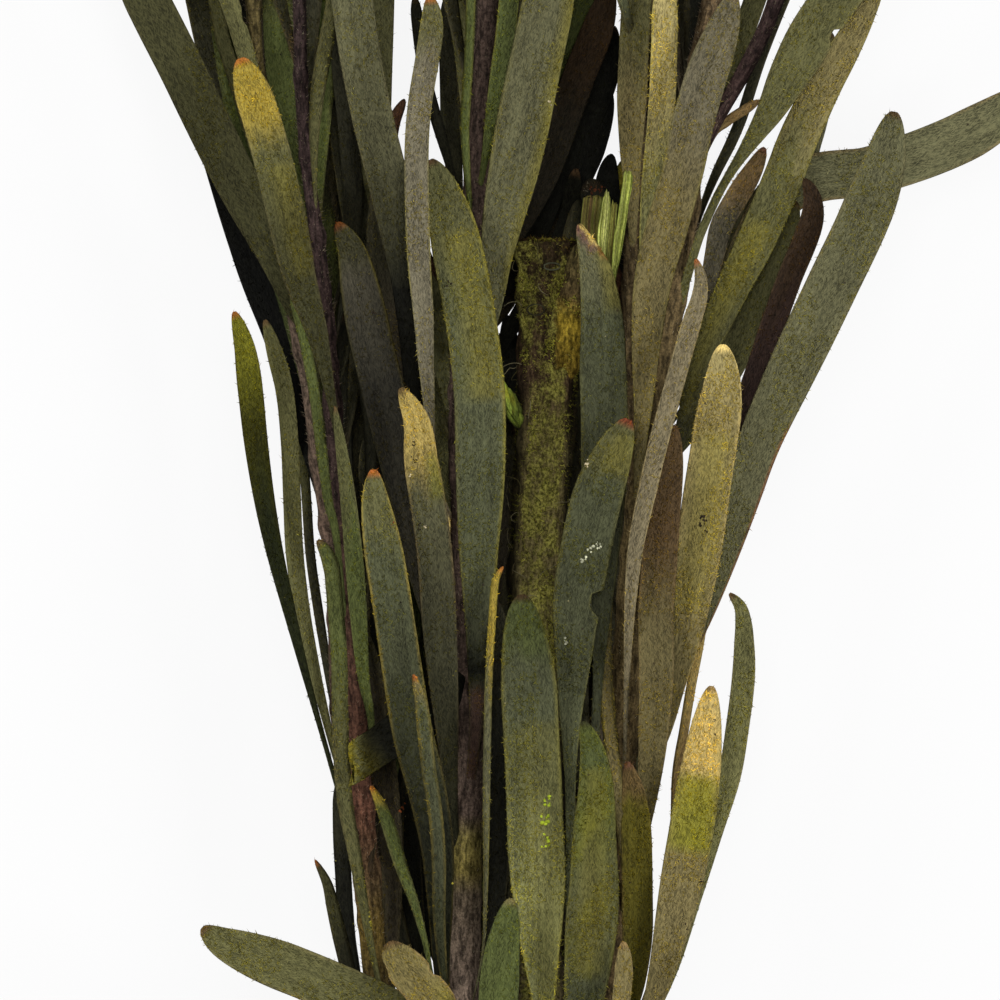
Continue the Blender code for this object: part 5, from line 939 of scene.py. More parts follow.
# Crusts on the leaves: place in plan, size, kind
CRUSTS = [
    (16.8, -8.5, 0.9, "lichen"), (17.5, -8.3, 0.5, "lichen"), (14.8, -10.5, 0.7, "lichen"),
    (11.8, -25.5, 0.6, "lichen"), (15.4, 6.3, 0.6, "pale"), (-14.4, -5.0, 0.5, "dark"),
    (-9.3, 38.8, 0.6, "dark"), (-22.7, 33.8, 0.5, "dark"), (9.0, 71.6, 0.5, "pale"),
    (8.3, -57.5, 1.1, "bright"), (8.5, -54.0, 0.9, "bright"), (8.1, -61.5, 1.0, "bright"),
    (8.9, 27.0, 0.9, "pale"), (8.6, 26.0, 0.7, "pale"), (11.9, 32.4, 0.6, "pale"), (13.7, 35.2, 0.6, "pale"),
    (9.3, 42.5, 0.7, "pale"), (36.6, -3.2, 0.8, "dark"), (36.0, -4.4, 0.6, "dark"), (37.1, -5.4, 0.5, "dark"),
    (-15.2, 12.8, 0.28, "dark"), (-13.7, 12.3, 0.26, "dark"), (-15.5, 10.2, 0.5, "dark"),
    (-15.4, 11.0, 0.3, "pale"), (-13.7, 8.3, 0.26, "dark"), (-15.3, 7.2, 0.45, "dark"),
    (-16.3, 4.4, 0.45, "pale"), (-13.5, -5, 0.4, "pale"), (38.3, -39.5, 0.3, "dark"),
    (38.5, -42, 0.3, "dark"), (36, -68.5, 0.5, "dark"), (33.2, -76, 0.4, "dark"), (-25.9, -37.8, 0.8, "rust"),
    (-25.3, -37.7, 0.7, "rust"), (-17.8, -56, 0.7, "rust"), (-18.8, -4.2, 0.4, "rust"),
    (16.9, 56.1, 0.6, "scab"), (16.6, 55.5, 0.5, "scab"), (17.3, 56.4, 0.4, "scab"),
    (18.5, 56.8, 0.5, "scab"), (18.2, 56.3, 0.4, "scab"), (15.9, 57.3, 0.4, "wool"),
    (15.6, 56.2, 0.4, "wool"), (19.0, 55.6, 0.4, "dark"), (20.0, 44.0, 0.5, "dark"), (-7.5, -66, 1.3, "dust"),
    (-7.0, -63.5, 1.0, "dust"), (-7.9, -68.6, 1.0, "dust"), (-23.2, -76, 0.9, "dust"),
]
CRUST_TONES = {"lichen": (184, 184, 156), "pale": (196, 182, 148), "dark": (48, 40, 30),
               "bright": (168, 186, 50), "dust": (164, 152, 58), "rust": (150, 82, 44), "scab": (96, 54, 32),
               "wool": (92, 86, 70)}
CRUMBS = 300            # loose ones, all over the leaves
DUST_TONES = ((120, 112, 54), (130, 122, 88), (100, 94, 40), (40, 32, 24), (48, 38, 28))

# Stage, in metres: half width of the table, camera, and lamps as name, place, size, share of the key light
TABLE_REACH = 6.0
SENSOR = 36.0           # width of the camera's sensor in mm
PICTURE_WIDTH = 0.18    # width of the picture at the height in focus
FOCUS_HEIGHT = 0.036
LAMPS = (("left", (-1.05, 0.2, 0.95), 0.6, 0.62), ("right", (1.05, 0.1, 0.95), 0.6, 0.85),
         ("top", (0.0, 0.2, 1.4), 0.5, 0.4))


def wander(t, seed, waves=3):
    """A slow even wave along t, different for each seed."""
    rng = random.Random(seed)
    value = np.zeros_like(t)
    for k in range(1, waves + 1):
        value = value + rng.uniform(-1, 1) / k * np.sin(2 * math.pi * (k * t + rng.random()))
    return value


def mix(a, b, share):
    """Colours a and b blended by a share for each point."""
    share = np.clip(share, 0, 1)[..., None]
    return a * (1 - share) + np.asarray(b) * share


def draws(rng, count, *ranges):
    """Even random numbers, a row of them for each of count; one range gives a flat array."""
    rows = np.array([[rng.uniform(low, high) for low, high in ranges] for _ in range(count)])
    return rows.reshape(count, -1) if len(ranges) > 1 else rows.ravel()


def picks(rng, count, *colours):
    """Random colours out of a few display colours."""
    return np.array([tint(*rng.choice(colours)) for _ in range(count)])


def ring_faces(rings, around):
    """Quads between closed rings, with a cap of triangles at each end."""
    i, k = np.meshgrid(np.arange(rings - 1), np.arange(around), indexing="ij")
    a = (i * around + k).ravel()
    b = (i * around + (k + 1) % around).ravel()
    quads = np.stack([a, b, b + around, a + around], axis=1)
    caps = []
    for start, flip in ((0, True), ((rings - 1) * around, False)):
        for k in range(1, around - 1):
            tri = (start, start + k + 1, start + k) if flip else (start, start + k, start + k + 1)
            caps.append(tri + (tri[2],))
    return np.vstack([quads, np.array(caps)])


class Batch:
    """Vertices, faces and surface values gathered for one mesh."""

    def __init__(self):
        self.verts, self.faces, self.tones, self.places, self.dusts = [], [], [], [], []
        self.count = 0

    def add(self, verts, faces, tone, place, dust):
        """Add one body, faces outward: a face is a row of four, and a triangle repeats its last corner."""
        a, b, c, d = (verts[faces[:, k]] for k in range(4))
        if np.sum(np.einsum("ij,ij->i", a, np.cross(b, c) + np.cross(c, d))) < 0:
            three = faces[:, 2] == faces[:, 3]
            turned = faces[:, [0, 3, 2, 1]]
            turned[three] = faces[three][:, [0, 2, 1, 1]]
            faces = turned
        self.verts.append(verts)
        self.faces.append(faces + self.count)
        self.tones.append(tone)
        self.places.append(place)
        self.dusts.append(dust)
        self.count += len(verts)

    def add_rings(self, verts, tone, place, dust):
        """Add a body of closed rings, given as rings by points round them, with an even dust."""
        rings, around = verts.shape[:2]
        self.add(verts.reshape(-1, 3), ring_faces(rings, around), tone.reshape(-1, 3), place.reshape(-1, 2),
                 np.full(rings * around, dust))

    def mesh(self, name):
        """The gathered bodies as one smooth mesh, on the object's own origin."""
        verts = (np.vstack(self.verts) - np.array([ORIGIN[0], ORIGIN[1], 0.0])) * MM
        verts = np.clip(verts, np.array(CAD_BOX[0]) + INSET, np.array(CAD_BOX[1]) - INSET)
        faces = np.vstack(self.faces)
        three = faces[:, 2] == faces[:, 3]
        keep = np.ones(faces.shape, bool)
        keep[three, 3] = False
        corners = faces[keep]
        starts = np.concatenate([[0], np.cumsum(np.where(three, 3, 4))[:-1]])
        mesh = bpy.data.meshes.new(name)
        mesh.vertices.add(len(verts))
        mesh.vertices.foreach_set("co", verts.astype(np.float32).ravel())
        mesh.loops.add(len(corners))
        mesh.loops.foreach_set("vertex_index", corners.astype(np.int32))
        mesh.polygons.add(len(faces))
        mesh.polygons.foreach_set("loop_start", starts.astype(np.int32))
        mesh.update(calc_edges=True)
        tones = np.vstack(self.tones)
        tones = np.hstack([tones, np.ones((len(tones), 1))])
        mesh.attributes.new("tone", "FLOAT_COLOR", "POINT").data.foreach_set(
            "color", tones.astype(np.float32).ravel())
        mesh.attributes.new("dust", "FLOAT", "POINT").data.foreach_set(
            "value", np.concatenate(self.dusts).astype(np.float32))
        mesh.uv_layers.new(name="place").data.foreach_set(
            "uv", np.vstack(self.places)[corners].astype(np.float32).ravel())
        mesh.shade_smooth()
        mesh.validate()
        return mesh


def leaf_look(name, rng):
    """The look of a leaf: its own row of the table, or for a rule leaf one that is drawn."""
    if name in LOOKS:
        return LOOKS[name]
    body, tip = rng.choice(RULE_BODIES), rng.choice(RULE_TIPS)
    share, point = rng.uniform(0.1, 0.24), rng.choice(("orange", "tan", "brown"))
    edge_amount, dust = rng.uniform(0.15, 0.45), rng.uniform(0.15, 0.5)
    # Leaves behind the others, K, take dark tones: painted shade
    if name[0] == "K":
        body, tip, point = rng.choice(("dark", "deep", "plum", "green", "dark")), "dark", "dark"
    return body, tip, share, point, "khaki", edge_amount, dust


def leaf_colours(name, s, u, path, length, number):
    """Tone of each point of a leaf, with its painted shade and light, and how dusty the leaf is."""
    rng = random.Random(number * 7 + 3)
    body, tip, share, point, edge, edge_amount, dust = leaf_look(name, rng)
    tone = np.tile(np.array(PALETTE[body]) * rng.uniform(0.94, 1.07), s.shape + (1,))
    tone = tone * (1 + 0.07 * wander(s, number) + 0.05 * wander(0.5 * u + 0.5, number + 50))[..., None]
    reach = share * (1 + 0.16 * wander(0.5 * u + 0.5, number + 9))
    tone = mix(tone, PALETTE[tip], 0.85 * (1 - smooth(((1 - s) - 0.6 * reach) / (0.7 * reach))))
    tone = mix(tone, PALETTE["brown"], 0.55 * (1 - smooth((s - 0.02) / 0.12)))
    y = path[:, 1][:, None] + 0 * u
    for y0, y1, centre, spread, colour, amount in PATCHES.get(name, ()):
        along = smooth((y - y0) / PATCH_FADE + 0.5) * smooth((y1 - y) / PATCH_FADE + 0.5)
        across = smooth(1.2 - np.abs(u - centre) / spread)
        tone = mix(tone, PALETTE[colour], amount * along * across)
    uneven = 0.75 + 0.45 * wander(s * 2, number + 77, 6)
    tone = mix(tone, PALETTE[edge], edge_amount * uneven * smooth((np.abs(u) - 0.86) / 0.12))
    left = (1 - s) * length
    tone = mix(tone, PALETTE[point], 0.85 * (1 - smooth((left - 0.5) / 1.5)))
    # Painted shade and light: the leaf's tone times its share from the table, read along Y
    shade = PAINTED_SHADES.get(name, USUAL_PAINTED_SHADE)
    if isinstance(shade, tuple):
        stops = np.array(shade, float)
        shade = np.interp(y, stops[:, 0], stops[:, 1])[..., None]
    return tone * shade, dust


def toward_tip(rings, last):
    """Shares of a blade's length, closer together at its tip, up to the last one."""
    s = 1 - (1 - np.linspace(0, 1, rings)) ** 1.25
    s[-1] = last
    return s


def both_faces(across):
    """Places round a blade, from those across its upper face, with 1 for that face and -1 for the other."""
    return (np.concatenate([across, across[-2:0:-1]]),
            np.concatenate([np.ones(len(across)), -np.ones(len(across) - 2)]))


def cut_across(name, verts, tone, tangent, u_grid, face, number):
    """A blade cut off along a ragged line, with a rim and a band of other colours along it."""
    first, second, rough, rim, band = CUTS[name]
    line = np.array([second[0] - first[0], second[1] - first[1], 0.0])
    along = unit(line)
    away = np.array([-along[1], along[0], 0.0])
    if away @ tangent[-1] < 0:
        away = -away
    rest = verts - np.array([first[0], first[1], 0.0])
    over = rest @ away + rough * (wander(u_grid, number, 9) + 0.3 * face)
    lean = np.maximum(tangent @ away, 0.35)[:, None]
    verts = verts - tangent[:, None, :] * (np.maximum(over, 0) / lean * 0.985)[..., None]
    place = (verts - np.array([first[0], first[1], 0.0])) @ along
    near = smooth((math.hypot(line[0], line[1]) + 0.8 - place) / 1.2)
    tone = mix(tone, PALETTE[band], 0.85 * near * smooth((over + 2.0) / 0.8))
    tone = mix(tone, PALETTE[rim], 0.9 * near * smooth((over + 0.3) / 0.3))
    return verts, tone


def fine_blade(batch, blade, number):
    """One leaf: a closed cupped blade with its own outline, bites, folds and colours."""
    name, hand = blade["name"], blade["hand"]
    length = path_length(blade["path"])
    width = blade["half"].max()
    rings = int(np.clip(length * (0.95 if hand else 0.5), 14, 110))
    s = toward_tip(rings, 0.9988)
    dense = resample(blade["path"], 240)
    t = np.linspace(0, 1, 240)
    centre = read_rows(s, t, dense)
    ahead, behind = (read_rows(at, t, dense) for at in (np.minimum(s + 0.012, 1), np.maximum(s - 0.012, 0)))
    tangent = units(ahead - behind)
    side, normal = level_frame(tangent)
    turn = blade["roll"] + math.radians(2.2) * wander(s, number + 31)
    c, q = np.cos(turn)[:, None], np.sin(turn)[:, None]
    side, normal = side * c + normal * q, normal * c - side * q

    slim = min(0.5, 2 * width * TAPERS.get(name, USUAL_TAPER) / length)
    waist = WAISTS.get(name, USUAL_WAIST)
    base = 0.19 + 0.81 * smooth((s - waist[0]) / waist[1])
    tip = np.sqrt(np.clip(1.0 - np.clip((s - 1 + slim) / slim, 0, 1) ** 1.6, 0, 1))
    half = width * base * np.maximum(tip, BLUNT.get(name, 0.0))
    left = half * (1 + 0.022 * wander(s, number + 3, 7))
    right = half * (1 + 0.022 * wander(s, number + 4, 7))
    for y0, y1, which, deep in BITES.get(name, ()):
        cut = deep * smooth((centre[:, 1] - y0) / 0.8) * smooth((y1 - centre[:, 1]) / 0.8)
        if which > 0:
            right = np.maximum(right - cut, 0.2)
        else:
            left = np.maximum(left - cut, 0.2)

    if width < 1.6:
        u, face = both_faces(np.linspace(-1, 1, 5 if hand else 4))
    else:
        u, face = both_faces(ROLLED_EDGES if hand else np.linspace(-1, 1, 5))
    u_grid = np.tile(u, (rings, 1))
    s_grid = np.tile(s[:, None], (1, len(u)))
    reach = np.where(u_grid < 0, left[:, None], right[:, None]) * u_grid
    thick = BLADE_THICK * 0.46 * (1 - np.abs(u_grid) ** 2.6) * smooth((1 - s_grid) / 0.02 + 0.25)
    if blade["flat"]:
        lift = (face > 0) * 2 * thick
    else:
        cup = CUP * (1 + 0.35 * wander(s, number + 8))[:, None]
        fold = 0.16 * np.sin(11 * s_grid * length / 90 + number) * u_grid * np.abs(u_grid)
        lift = cup * half[:, None] * u_grid ** 2 + face * thick + fold * smooth(s_grid / 0.2)
    verts = centre[:, None, :] + side[:, None, :] * reach[..., None] + normal[:, None, :] * lift[..., None]
    tone, dust = leaf_colours(name, s_grid, u_grid, centre, length, number)
    if name in CUTS:
        verts, tone = cut_across(name, verts, tone, tangent, u_grid, face, number)
    place = np.stack([reach / SPAN + 0.37 * number, s_grid * length / SPAN + 0.61 * number], axis=-1)
    batch.add_rings(verts, tone, place, dust)


def fine_tube(batch, table, sides, step, tones, number, bumps=(), rough=0.05, dust=0.3, relief=0.0):
    """A stem through points with radii: uneven bark with a swelling under each leaf."""
    table = np.asarray(table, float)
    length = path_length(table)
    rings = max(6, int(length / step))
    dense = resample(table, rings)
    side, up = level_frame(units(np.gradient(dense[:, :3], axis=0)))
    angle = np.linspace(0, 2 * math.pi, sides, endpoint=False) - 0.5 * math.pi
    a_grid = np.tile(angle, (rings, 1))
    along = np.linspace(0, length, rings)[:, None] + 0 * a_grid
    rng = random.Random(number)
    swell = np.zeros_like(a_grid)
    for k in range(7):
        turns, waves, phase = rng.choice((1, 2, 3, 5, 7)), rng.uniform(0.02, 0.3), rng.uniform(0, 6.28)
        swell += rng.uniform(-1, 1) * np.sin(turns * a_grid + waves * along + phase) / (1 + 0.4 * k)
    radius = dense[:, 3][:, None] * (1 + rough * swell)
    for point, amount, spread in bumps:
        gap = np.linalg.norm(dense[:, :3] - np.asarray(point)[None, :3], axis=1)[:, None]
        radius = radius + amount * np.exp(-(gap / spread) ** 2)
    out = side[:, None, :] * np.cos(a_grid)[..., None] + up[:, None, :] * np.sin(a_grid)[..., None]
    verts = dense[:, None, :3] + out * radius[..., None]
    if relief:
        lumps = [noise.fractal(Vector((x * 0.30, y * 0.16, z * 0.30)), 0.9, 2.1, 5)
                 for x, y, z in verts.reshape(-1, 3)]
        verts = verts + out * (relief * np.array(lumps).reshape(rings, sides, 1))
    stops = np.array([y for y, _ in tones], float)
    light = np.array([tint(*c) for _, c in tones])
    tone = np.stack([np.interp(dense[:, 1], stops, light[:, k]) for k in range(3)], axis=1)
    tone = tone[:, None, :] * (1 + 0.10 * swell)[..., None]
    place = np.stack([a_grid * dense[:, 3][:, None] / SPAN + 0.4 * number, along / SPAN + 0.3 * number],
                     axis=-1)
    batch.add_rings(verts, tone, place, dust)
    return dense


def even(tone):
    """One display colour all along a tube."""
    return [(-300, tone), (300, tone)]


# Finishes

def new_group(name, takes):
    """An empty shader group that takes named values and gives colour, roughness and height."""
    group = bpy.data.node_groups.new(name, "ShaderNodeTree")
    for label, kind, default in takes:
        made = group.interface.new_socket(name=label, in_out="INPUT", socket_type="NodeSocket" + kind)
        if default is not None:
            made.default_value = default
    for label, kind in (("Color", "Color"), ("Roughness", "Float"), ("Height", "Float")):
        group.interface.new_socket(name=label, in_out="OUTPUT", socket_type="NodeSocket" + kind)
    return group, group.nodes.new("NodeGroupInput").outputs, group.nodes.new("NodeGroupOutput").inputs


def node(tree, kind, takes=None, **options):
    """A shader node with its options, and with values or links for its inputs by name or number."""
    made = tree.nodes.new("ShaderNode" + kind)
    for key, value in options.items():
        setattr(made, key, value)
    for key, value in (takes or {}).items():
        if isinstance(value, bpy.types.NodeSocket):
            tree.links.new(value, made.inputs[key])
        else:
            made.inputs[key].default_value = value
    return made


def attribute(tree, name):
    """The outputs of a node that reads an attribute of the mesh."""
    return node(tree, "Attribute", attribute_type="GEOMETRY", attribute_name=name).outputs


def vector(tree, operation, **takes):
    """Vectors put together: a, b and c are its inputs in order, and scale a number."""
    numbered = {"abc".index(key) if key in "abc" else key.title(): value for key, value in takes.items()}
    return node(tree, "VectorMath", numbered, operation=operation).outputs[0]


def grained(tree, place, stretch, detail, rough):
    """Noise over a place that is stretched first."""
    moved = vector(tree, "MULTIPLY", a=place, b=stretch)
    return node(tree, "TexNoise", {"Vector": moved, "Scale": 1.0, "Detail": detail,
                                   "Roughness": rough}).outputs["Fac"]


def ranged(tree, value, low, high, start=0.0, end=1.0):
    """A value mapped from one range to another, held at both ends."""
    return node(tree, "MapRange", {0: value, 1: low, 2: high, 3: start, 4: end},
                interpolation_type="SMOOTHSTEP").outputs[0]


def maths(tree, operation, first, *others):
    """Values put together one after another."""
    for other in others:
        first = node(tree, "Math", {0: first, 1: other}, operation=operation).outputs[0]
    return first


def weighted(tree, *pairs):
    """The sum of values, each times its weight."""
    return maths(tree, "ADD", *(maths(tree, "MULTIPLY", value, weight) for value, weight in pairs))


def blend(tree, share, a, b):
    """Two colours blended."""
    return node(tree, "Mix", {0: share, 6: a, 7: b}, data_type="RGBA").outputs[2]


def give_all(group, give, colour, roughness, height):
    """Link what a group gives."""
    for label, value in (("Color", colour), ("Roughness", roughness), ("Height", height)):
        group.links.new(value, give[label])


def leaf_skin_group():
    """Flat silky hairs, fine ribs, blotches, algae dust and dark specks over a tone."""
    group, take, give = new_group("leaf_skin", (
        ("Tone", "Color", (0.07, 0.08, 0.05, 1.0)), ("Place", "Vector", None), ("Dust", "Float", 0.3),
        ("Hairs", "Float", 0.5), ("Specks", "Float", 0.5)))
    place, base = take["Place"], take["Tone"]
    ribs = grained(group, place, (1.3, 0.03, 1.0), 3.0, 0.6)
    cross = grained(group, place, (4.4, 1.7, 1.0), 3.0, 0.7)
    blotch = grained(group, place, (0.34, 0.10, 1.0), 4.0, 0.6)
    patch = grained(group, place, (0.24, 0.12, 1.0), 4.0, 0.6)
    layers = []
    for turn, shift in ((-0.42, 0.0), (0.36, 31.0), (0.04, 67.0)):
        turned = node(group, "Mapping", {"Vector": place, "Location": (shift, shift, 0.0),
                                         "Rotation": (0.0, 0.0, turn)}).outputs[0]
        layers.append(ranged(group, grained(group, turned, (4.4, 0.7, 1.0), 2.0, 0.6), 0.48, 0.64))
    wool = maths(group, "MAXIMUM", *layers)
    value = maths(group, "MULTIPLY", ranged(group, blotch, 0.34, 0.66, 0.66, 1.26),
                  ranged(group, ribs, 0.36, 0.64, 0.70, 1.20), ranged(group, cross, 0.34, 0.66, 0.64, 1.22))
    lit = vector(group, "SCALE", a=base, scale=value)
    pale = vector(group, "MULTIPLY_ADD", a=base, b=(2.5, 2.4, 2.3), c=(0.007, 0.007, 0.005))
    colour = blend(group, maths(group, "MULTIPLY", wool, take["Hairs"]), lit, pale)
    threads = node(group, "TexNoise", {"Vector": place, "Scale": 1.0, "Detail": 3.0, "Roughness": 0.6},
                   noise_type="RIDGED_MULTIFRACTAL").outputs["Fac"]
    grain = maths(group, "MULTIPLY", ranged(group, threads, 0.5, 1.6),
                  ranged(group, cross, 0.34, 0.62, 0.35, 1.0))
    threshold = maths(group, "SUBTRACT", 1.0, maths(group, "MULTIPLY", take["Dust"], 0.62))
    above = maths(group, "SUBTRACT", weighted(group, (grain, 0.55), (patch, 0.75)), threshold)
    dust = maths(group, "MULTIPLY", ranged(group, above, -0.05, 0.22), 0.75)
    algae = vector(group, "MULTIPLY_ADD", a=base, b=(2.6, 2.5, 0.85), c=(0.010, 0.009, 0.0))
    colour = blend(group, dust, colour, algae)
    cell = node(group, "TexVoronoi", {"Vector": place, "Scale": 0.42}, feature="F1").outputs
    near = ranged(group, cell["Distance"], 0.05, 0.12, 1.0, 0.0)
    some = ranged(group, node(group, "SeparateColor", {"Color": cell["Color"]}).outputs[0], 0.72, 0.74)
    speck = maths(group, "MULTIPLY", near, some, take["Specks"])
    colour = blend(group, speck, colour, tint(44, 32, 24) + (1.0,))
    give_all(group, give, colour, ranged(group, cross, 0.2, 0.8, 0.52, 0.74),
             weighted(group, (ribs, 0.55), (wool, 0.22), (cross, 0.2), (dust, 0.12)))
    return group


def bark_group():
    """Fissured bark with moss in patches and pale flecks."""
    group, take, give = new_group("bark", (
        ("Tone", "Color", (0.05, 0.04, 0.02, 1.0)), ("Place", "Vector", None), ("Moss", "Float", 0.4),
        ("Fissures", "Float", 0.5), ("Moss Color", "Color", tint(182, 176, 84) + (1.0,))))
    place = take["Place"]
    crack = grained(group, place, (1.3, 0.35, 1.3), 5.0, 0.65)
    fine = grained(group, place, (2.2, 1.7, 2.2), 4.0, 0.7)
    patch = grained(group, place, (0.30, 0.18, 0.30), 4.0, 0.62)
    fluff = grained(group, place, (1.6, 1.4, 1.6), 5.0, 0.75)
    value = maths(group, "MULTIPLY", ranged(group, crack, 0.36, 0.62, 0.35, 1.4),
                  ranged(group, fine, 0.34, 0.66, 0.55, 1.5))
    lit = vector(group, "SCALE", a=take["Tone"], scale=value)
    threshold = maths(group, "SUBTRACT", 0.90, maths(group, "MULTIPLY", take["Moss"], 0.44))
    above = maths(group, "SUBTRACT", weighted(group, (fluff, 0.55), (patch, 0.62)), threshold)
    moss = ranged(group, above, -0.05, 0.14)
    shade = vector(group, "SCALE", a=take["Moss Color"], scale=ranged(group, fine, 0.36, 0.64, 0.22, 1.35))
    colour = blend(group, maths(group, "MULTIPLY", moss, 0.85), lit, shade)
    lumps = maths(group, "ADD", fine, maths(group, "MULTIPLY", moss, fluff))
    give_all(group, give, colour, ranged(group, moss, 0.0, 1.0, 0.78, 0.95),
             weighted(group, (crack, take["Fissures"]), (lumps, 0.4)))
    return group


GROUPS = {"leaf_skin": leaf_skin_group, "bark": bark_group}
# Each finish: its group and values, the input that takes the mesh's dust, strength and height of the
# relief in metres, sheen, and whether it follows the mesh's own places or runs through the whole object
FINISHES = {
    "fine_leaf": ("leaf_skin", {"Hairs": 0.55, "Specks": 0.7}, "Dust", 0.8, 0.0002, 0.01, True),
    "fine_bract": ("leaf_skin", {"Hairs": 0.30, "Specks": 0.4}, "Dust", 0.5, 0.00018, 0.01, True),
    "young_bark": ("bark", {"Moss": 0.22, "Fissures": 0.5}, None, 0.6, 0.00022, 0.01, True),
    "old_bark": ("bark", {"Fissures": 0.8}, "Moss", 0.8, 0.0006, 0.0, False),
    "green_wood": ("leaf_skin", {"Hairs": 0.08, "Specks": 0.1}, "Dust", 0.8, 0.0003, 0.0, True),
}


def finish_for(name):
    """The finish of that name, made once: a group over the mesh's own tones."""
    if name in bpy.data.materials:
        return bpy.data.materials[name]
    kind, values, dusty, bump, distance, sheen, own_places = FINISHES[name]
    made = bpy.data.materials.new(name)
    made.use_nodes = True
    tree = made.node_tree
    skin = tree.nodes.new("ShaderNodeGroup")
    skin.node_tree = bpy.data.node_groups.get(kind) or GROUPS[kind]()
    if own_places:
        where, scale = node(tree, "UVMap", uv_map="place").outputs[0], SPAN
    else:
        where, scale = node(tree, "TexCoord").outputs["Object"], 1.0 / MM
    tree.links.new(attribute(tree, "tone")["Color"], skin.inputs["Tone"])
    tree.links.new(vector(tree, "SCALE", a=where, scale=scale), skin.inputs["Place"])
    if dusty:
        tree.links.new(attribute(tree, "dust")["Fac"], skin.inputs[dusty])
    for key, value in values.items():
        skin.inputs[key].default_value = value
    relief = node(tree, "Bump", {"Strength": bump, "Distance": distance, "Height": skin.outputs["Height"]})
    shader = tree.nodes["Principled BSDF"]
    tree.links.new(skin.outputs["Color"], shader.inputs["Base Color"])
    tree.links.new(skin.outputs["Roughness"], shader.inputs["Roughness"])
    tree.links.new(relief.outputs[0], shader.inputs["Normal"])
    shader.inputs["Sheen Weight"].default_value = sheen
    shader.inputs["Specular IOR Level"].default_value = 0.08
    return made


# Pieces

PLAN = {}


def blades_of(stems):
    """The settled blades on some stems, each with its number in the plan."""
    if "blades" not in PLAN:
        rows, owners = tubes()
        PLAN["blades"] = clear_blades(drawn_blades() + rule_blades(), rows, owners)
        PLAN["skins"] = {}
    return [(k, blade) for k, blade in enumerate(PLAN["blades"]) if blade["stem"] in stems]


def add_piece(name, batch, finish, slot, *nodes):
    """Link a piece with its finish; it rides on the object and stands for CAD nodes."""
    mesh = batch.mesh(name)
    mesh.materials.append(finish_for(finish))
    piece = bpy.data.objects.new(name, mesh)
    bpy.context.scene.collection.objects.link(piece)
    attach(piece, "root")
    if nodes:
        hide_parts(*nodes)


def spikes(batch, roots, ways, lengths, widths, tones, number):
    """Many thin three-sided needles."""
    count = len(roots)
    ways = units(ways)
    side = units(np.cross(ways, (0.31, 0.22, 0.93)))
    other = np.cross(side, ways)
    verts = np.zeros((count, 4, 3))
    for k in range(3):
        angle = 2 * math.pi * k / 3
        verts[:, k] = roots + (side * math.cos(angle) + other * math.sin(angle)) * widths[:, None]
    verts[:, 3] = roots + ways * lengths[:, None]
    corners = np.array([(0, 1, 3, 3), (1, 2, 3, 3), (2, 0, 3, 3), (0, 2, 1, 1)])
    faces = (np.arange(count)[:, None, None] * 4 + corners[None]).reshape(-1, 4)
    place = np.repeat(roots[:, :2] / SPAN + number, 4, axis=0)
    batch.add(verts.reshape(-1, 3), faces, np.repeat(tones, 4, axis=0), place, np.zeros(4 * count))


def strand(batch, points, radius, tone, number, sides=3):
    """A thin fibre along points."""
    table = np.hstack([np.asarray(points, float), np.full((len(points), 1), radius)])
    table[-1, 3] *= 0.4
    table[0, 3] *= 0.8
    fine_tube(batch, table, sides, max(0.5, path_length(table) / 14), even(tone), number, rough=0.0, dust=0.0)


def stem_skin(dense, extra, rng, count, low, high):
    """Random points on a stem between two heights, with the way out of the bark."""
    rows = dense[(dense[:, 1] > low) & (dense[:, 1] < high)]
    pick = rows[[rng.randrange(len(rows)) for _ in range(count)]]
    angle = draws(rng, count, (-0.4, math.pi + 0.4))
    out = np.stack([np.cos(angle), np.zeros(count), np.sin(angle)], axis=1)
    return pick[:, :3] + out * (pick[:, 3] + extra)[:, None], out


def loose_blade(name, stem, path, roll, width):
    """A small blade that isn't in the plan."""
    return {"name": name, "stem": stem, "path": path, "roll": roll, "hand": True, "flat": False,
            "half": 0.5 * width * outline(np.linspace(0, 1, SAMPLES))}


def build_shoot(shoot):
    """Leaves, stems and fine hairs of one shoot."""
    stems = SHOOTS[shoot]
    leaves = Batch()
    for number, (name, (stem, width, points, high)) in enumerate(SCRAPS.items()):
        if stem in stems:
            path = resample([(x, y, high) for x, y in points], SAMPLES)
            fine_blade(leaves, loose_blade(name, stem, path, 0.0, width), SCRAP_NUMBER + number)
    roots = {}
    for number, blade in blades_of(stems):
        fine_blade(leaves, blade, number)
        roots.setdefault(blade["stem"], []).append(blade["path"][0])
    add_piece(shoot + "_leaves", leaves, "fine_leaf", "leaf", shoot)
    bark, hairs = Batch(), Batch()
    rng = random.Random(SEED + len(shoot))
    for k, stem in enumerate(stems):
        bumps = [(p, 0.3, 1.5) for p in roots.get(stem, ())]
        dense = fine_tube(bark, stem_table(stem), 20, 0.8, STEM_TONES[stem], 7 * k + len(shoot), bumps,
                          rough=0.04)
        count = int(HAIRS * (min(dense[-1, 1], DRAWN_TO) - max(dense[0, 1], -DRAWN_TO)))
        points, out = stem_skin(dense, -0.05, rng, count, -DRAWN_TO, DRAWN_TO)
        ways = out + draws(rng, count, (-0.3, 0.3), (0.2, 1.4), (-0.2, 0.2))
        tone = picks(rng, count, *HAIR_TONES)
        spikes(hairs, points, ways, draws(rng, count, (0.5, 1.3)), np.full(count, 0.045), tone, k)
    add_piece(shoot + "_bark", bark, "young_bark", "old_wood", shoot)
    add_piece(shoot + "_hairs", hairs, "green_wood", "leaf", shoot)
    faces = np.vstack(leaves.faces)
    tree = BVHTree.FromPolygons(np.vstack(leaves.verts).tolist(),
                                [f[:3] if f[2] == f[3] else f for f in faces.tolist()])
    PLAN["skins"][shoot] = (tree, np.vstack(leaves.tones)[faces[:, 0]],
                                np.concatenate(leaves.dusts)[faces[:, 0]])


